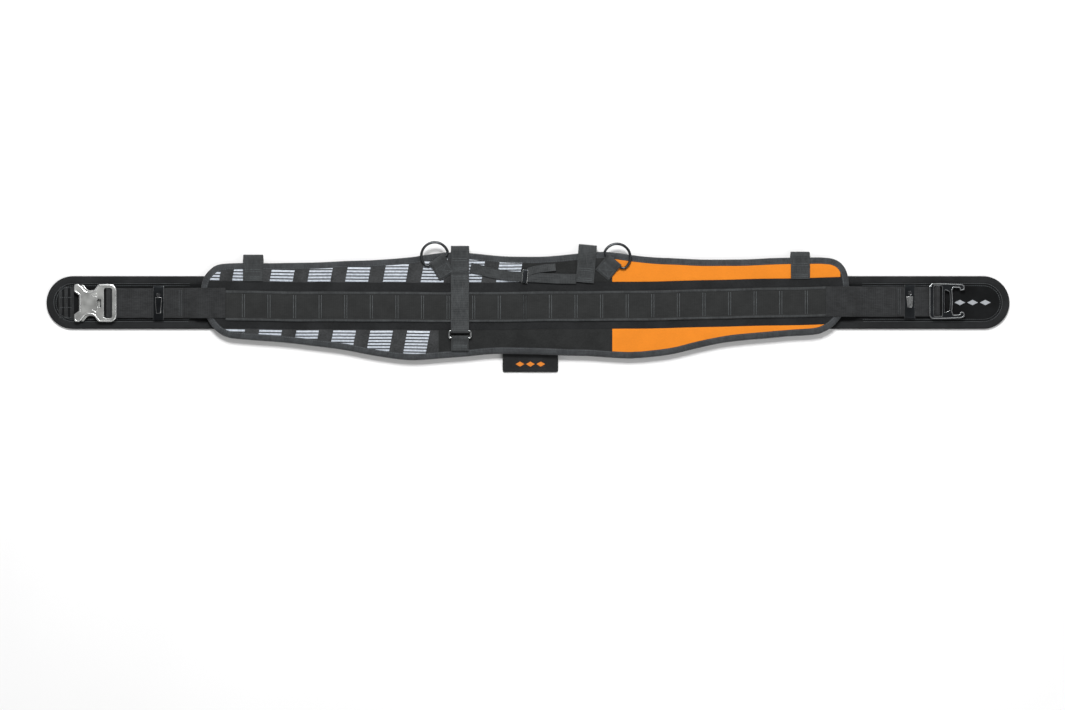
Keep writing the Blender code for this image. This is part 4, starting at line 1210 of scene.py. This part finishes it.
def build_tag():
    low, high = node_box("hanging_tag")
    xs = np.concatenate([low[0] + TAG_EDGE_STEPS, np.linspace(low[0] + 3, high[0] - 3, 24),
                         high[0] - TAG_EDGE_STEPS[::-1]])
    into_corner = np.clip(TAG_CORNER - np.minimum(xs - low[0], high[0] - xs), 0, None)
    cut = TAG_CORNER - np.sqrt(np.clip(TAG_CORNER ** 2 - into_corner ** 2, 0, None))

    def droop(x, y):
        t = np.clip((high[1] - TAG_HELD - y) / (high[1] - TAG_HELD - low[1]), 0, 1)
        return -3.2 * t ** 1.4 + 0.25 * np.sin(x / 12.0) * t

    def face(x, y):
        edge = np.minimum(np.minimum(x - low[0], high[0] - x), y - low[1])
        return high[2] - 0.35 + droop(x, y) + np.where(edge < TAG_HEM, 0.35, 0.0)

    obj = slab("tag_cloth", xs, low[1] + cut, np.full(len(xs), high[1]), face,
               lambda x, y: low[2] + droop(x, y), [MAT["tag"]], middle=18, roll=0.5)
    settle(obj, "back_panel", ("hanging_tag",))
    mark = diamonds("tag_mark", ((low[0] + high[0]) / 2, low[1] + 12.0), 15.5, (6.5, 3.8),
                    lambda x, y: high[2] - 0.3 + droop(x, y), MAT["mark"])
    settle(mark, "back_panel")


# ------------------------------------------------------------------ floor, light and camera
FLOOR_GAP = 0.6               # floor below the lowest CAD face
BELT_THICK = 26.0
SWINGING_TIPS = {"left_wing": TAIL["left"], "right_wing": TAIL["right"],
                 "left_tail": LINER_LOW[0], "right_tail": LINER_HIGH[0],
                 "female_buckle": node_box("buckle_top_plate")[0][0],
                 "male_buckle": node_box("buckle_prong_frame")[1][0]}


def lower_floor(floor):
    """Keep the floor under each body that swings down when the belt is wrapped."""
    for body, tip_x in SWINGING_TIPS.items():
        marker = bpy.data.objects.new(f"{body}_tip", None)
        marker.parent = frame["bodies"][body]
        marker.location = (tip_x * MM, 0, BELT_THICK * MM)
        bpy.context.scene.collection.objects.link(marker)
        rule = floor.constraints.new("FLOOR")
        rule.target = marker
        rule.floor_location = "FLOOR_NEGATIVE_Z"
        rule.offset = -(BELT_THICK + FLOOR_GAP) * MM


FLOOR_SIZE = 14.0
FLOOR_GREYS = (0.84, 0.86)
SKY_LEVELS = ((0.0, 0.75), (0.35, 1.0), (0.72, 0.95), (0.92, 0.35), (1.0, 0.26))
SKY_STRENGTH = 0.5
LAMPS = (("key_light", (-0.15, 1.5, 2.9), 0.8, 104.0), ("fill_light", (1.5, -1.2, 3.0), 2.0, 26.0))
LENS = 100.0
SENSOR = 36.0
VIEW_CENTRE = (0.0067, -0.0784, 0.008)
VIEW_WIDTH = 1.590


def build_floor():
    bpy.ops.mesh.primitive_plane_add(size=FLOOR_SIZE, location=(0, 0, -FLOOR_GAP * MM))
    floor = bpy.context.object
    floor.name = "studio_floor"
    lower_floor(floor)
    paper = Shader("white_paper", 0.9)
    at = paper.node("ShaderNodeTexCoord").outputs["Object"]
    dark, pale = FLOOR_GREYS
    paper.ramp(paper.noise(at, 3.0), [(0.3, (dark,) * 3), (0.7, (pale,) * 3)])
    paper.shader.inputs["Specular IOR Level"].default_value = 0.1
    floor.data.materials.append(paper.material)


def build_sky():
    world = bpy.data.worlds.new("studio_world")
    bpy.context.scene.world = world
    world.use_nodes = True
    nodes, links = world.node_tree.nodes, world.node_tree.links
    parts = nodes.new("ShaderNodeSeparateXYZ")
    links.new(nodes.new("ShaderNodeTexCoord").outputs["Generated"], parts.inputs[0])
    sky = nodes.new("ShaderNodeValToRGB")
    fill_ramp(sky.color_ramp, [(place, (level,) * 3) for place, level in SKY_LEVELS])
    links.new(parts.outputs[2], sky.inputs["Fac"])
    background = nodes["Background"]
    links.new(sky.outputs["Color"], background.inputs["Color"])
    background.inputs["Strength"].default_value = SKY_STRENGTH


def build_lamps():
    for name, place, size, power in LAMPS:
        data = bpy.data.lights.new(name, "AREA")
        data.size = size
        data.energy = power
        lamp = bpy.data.objects.new(name, data)
        lamp.location = place
        lamp.rotation_euler = (-Vector(place)).to_track_quat("-Z", "Y").to_euler()
        bpy.context.scene.collection.objects.link(lamp)


def build_camera():
    data = bpy.data.cameras.new("camera")
    data.lens = LENS
    data.sensor_width = SENSOR
    data.clip_end = 30.0
    camera = bpy.data.objects.new("camera", data)
    x, y, z = VIEW_CENTRE
    camera.location = (x, y, VIEW_WIDTH * LENS / SENSOR + z)
    bpy.context.scene.collection.objects.link(camera)
    bpy.context.scene.camera = camera
    bpy.context.scene.view_settings.view_transform = "Standard"


# ------------------------------------------------------------------ hardware finish
CLAMPED_EDGE = 0.8            # wider bevels run on past the small edges of the sockets below


def add_bevel(obj, width):
    """Round an object's edges in its second material, a lighter metal that paints a highlight along
    them.
    """
    bevel = obj.modifiers.new("edge", "BEVEL")
    bevel.width = width * MM
    bevel.segments = 3
    bevel.material = 1
    even = obj.modifiers.new("even", "WEIGHTED_NORMAL")
    even.keep_sharp = True
    return bevel


def finish_hardware(parts):
    """Weld, round the edges and shade each metal CAD node that keeps its shape. The rounded edges take a
    lighter metal, a painted highlight.
    """
    for node, material, highlight_edge_material, edge in parts:
        obj = frame["nodes"][node]
        weld = obj.modifiers.new("weld", "WELD")
        weld.merge_threshold = 1e-5
        obj.data.materials.clear()
        obj.data.materials.append(MAT[material])
        obj.data.shade_smooth()
        if edge:
            obj.data.materials.append(MAT[highlight_edge_material])
            bevel = add_bevel(obj, edge)
            bevel.limit_method = "ANGLE"
            bevel.angle_limit = math.radians(35)
            bevel.use_clamp_overlap = edge < CLAMPED_EDGE


def plate(name, outline, low, high, materials, body):
    """A small bevelled plate with a flat outline."""
    verts = [(x, y, z) for z in (low, high) for x, y in outline]
    faces = tube_faces(2, len(outline))
    obj = make_object(name, verts, faces, np.array(verts)[:, :2], materials, angle=30)
    add_bevel(obj, 0.35)
    settle(obj, body)


def lip(name, ring, z, width, height, material, body):
    """A raised rounded lip along a closed outline."""
    profile = [(width / 2 * math.cos(a), height * math.sin(a)) for a in np.linspace(0, math.pi, 9)]
    profile += [(-width / 2, -0.25), (width / 2, -0.25)]
    line = np.column_stack([ring, np.full(len(ring), z)])
    sides = leftward(line, closed=True)
    obj = sweep(name, line, sides, UPRIGHT, profile, material, closed=True, angle=50)
    settle(obj, body)


def build_lips():
    """Rounded lips that stiffen the outer edges of the buckle's plate and the prong frame, in a lighter
    metal that paints a highlight along those edges.
    """
    top = node_box("buckle_top_plate")[1][2] - 0.05
    for name, node, inset, width, height, look, body, slot in (
            ("buckle_lip", "buckle_top_plate", 1.7, 2.2, 0.75, "edge", "female_buckle", "steel"),
            ("prong_frame_lip", "buckle_prong_frame", 1.1, 1.3, 0.45, "dark_edge", "male_buckle",
             "dark_steel")):
        outer = offset_ring(resample(outlines_of(node)[0], 1.0, closed=True), inset)
        lip(name, outer, top, width, height, MAT[look], body)


def build_keeper_tongues():
    """The tapered tongue bent up from each keeper's face. The right one's bright metal is a painted
    highlight on the keeper's face, and both have a lighter bevel as a painted highlight along the
    outline.
    """
    for side, look, top, bottom in (("left", "dark", 8.6, -15.5), ("right", "bright", 7.6, -8.5)):
        high = node_box("keeper_" + side)[1]
        x, y, _ = box_middle("keeper_" + side)
        outline = [(x - 4.9, y + top), (x - 3.3, y + bottom), (x + 3.6, y + bottom), (x + 4.9, y + top)]
        plate("keeper_tongue_" + side, outline, high[2] - 0.1, high[2] + 0.9,
              [MAT[look], MAT["edge"]], side + "_keeper")


RIB_CORNERS = np.array([(-650.6, 10.6), (-643.4, 14.6), (-641.2, 7.6)])


def build_buckle_ribs():
    """Raised triangular ribs on the buckle body, pointing away from the webbing."""
    top = node_box("buckle_top_plate")[1][2]
    y = box_middle("buckle_top_plate")[1]
    middle = RIB_CORNERS.mean(axis=0)
    outer = middle + (RIB_CORNERS - middle) * 1.18
    inner = middle + (RIB_CORNERS - middle) * 0.62
    for side, sign in (("upper", 1), ("lower", -1)):
        for k in range(3):
            m = (k + 1) % 3
            corners = (outer[k], outer[m], inner[m], inner[k])
            outline = [(px, y + sign * py) for px, py in corners]
            plate(f"buckle_rib_{side}_{k}", outline, top - 0.05, top + 0.7,
                  [MAT["steel"], MAT["edge"]], "female_buckle")


build_floor()
build_sky()
build_lamps()
build_camera()
build_liner()
build_pad()
build_panels()
build_binding()
build_stripes()
build_row()
for belt_side in SIDES:
    build_belt_webbing(belt_side)
for loop_number in LOOPS:
    build_loop(loop_number)
for tab_side in SIDES:
    build_d_ring_tab(tab_side)
build_vertical_strap()
build_cross_strap()
build_tag()
build_liner_sewing()
build_keeper_tongues()
build_buckle_ribs()
build_lips()
finish_hardware((
    ("buckle_base_plate", "steel", "edge", 0.5), ("buckle_top_plate", "steel", "edge", 0.8),
    ("release_lever_upper", "steel", "edge", 0.5), ("release_lever_lower", "steel", "edge", 0.5),
    ("lever_spring", "bright", "edge", 0), ("adjuster_bar_left", "dark", "edge", 0),
    ("adjuster_bar_right", "dark", "edge", 0), ("buckle_prong_frame", "dark", "dark_edge", 0.7),
    ("keeper_left", "dark", "dark_edge", 0.35), ("keeper_right", "dark", "dark_edge", 0.35),
    ("d_ring_left", "black_ring", "edge", 0), ("d_ring_right", "black_ring", "edge", 0),
    ("strap_ring", "bright", "edge", 0), ("strap_slider", "dark", "edge", 0.4),
))
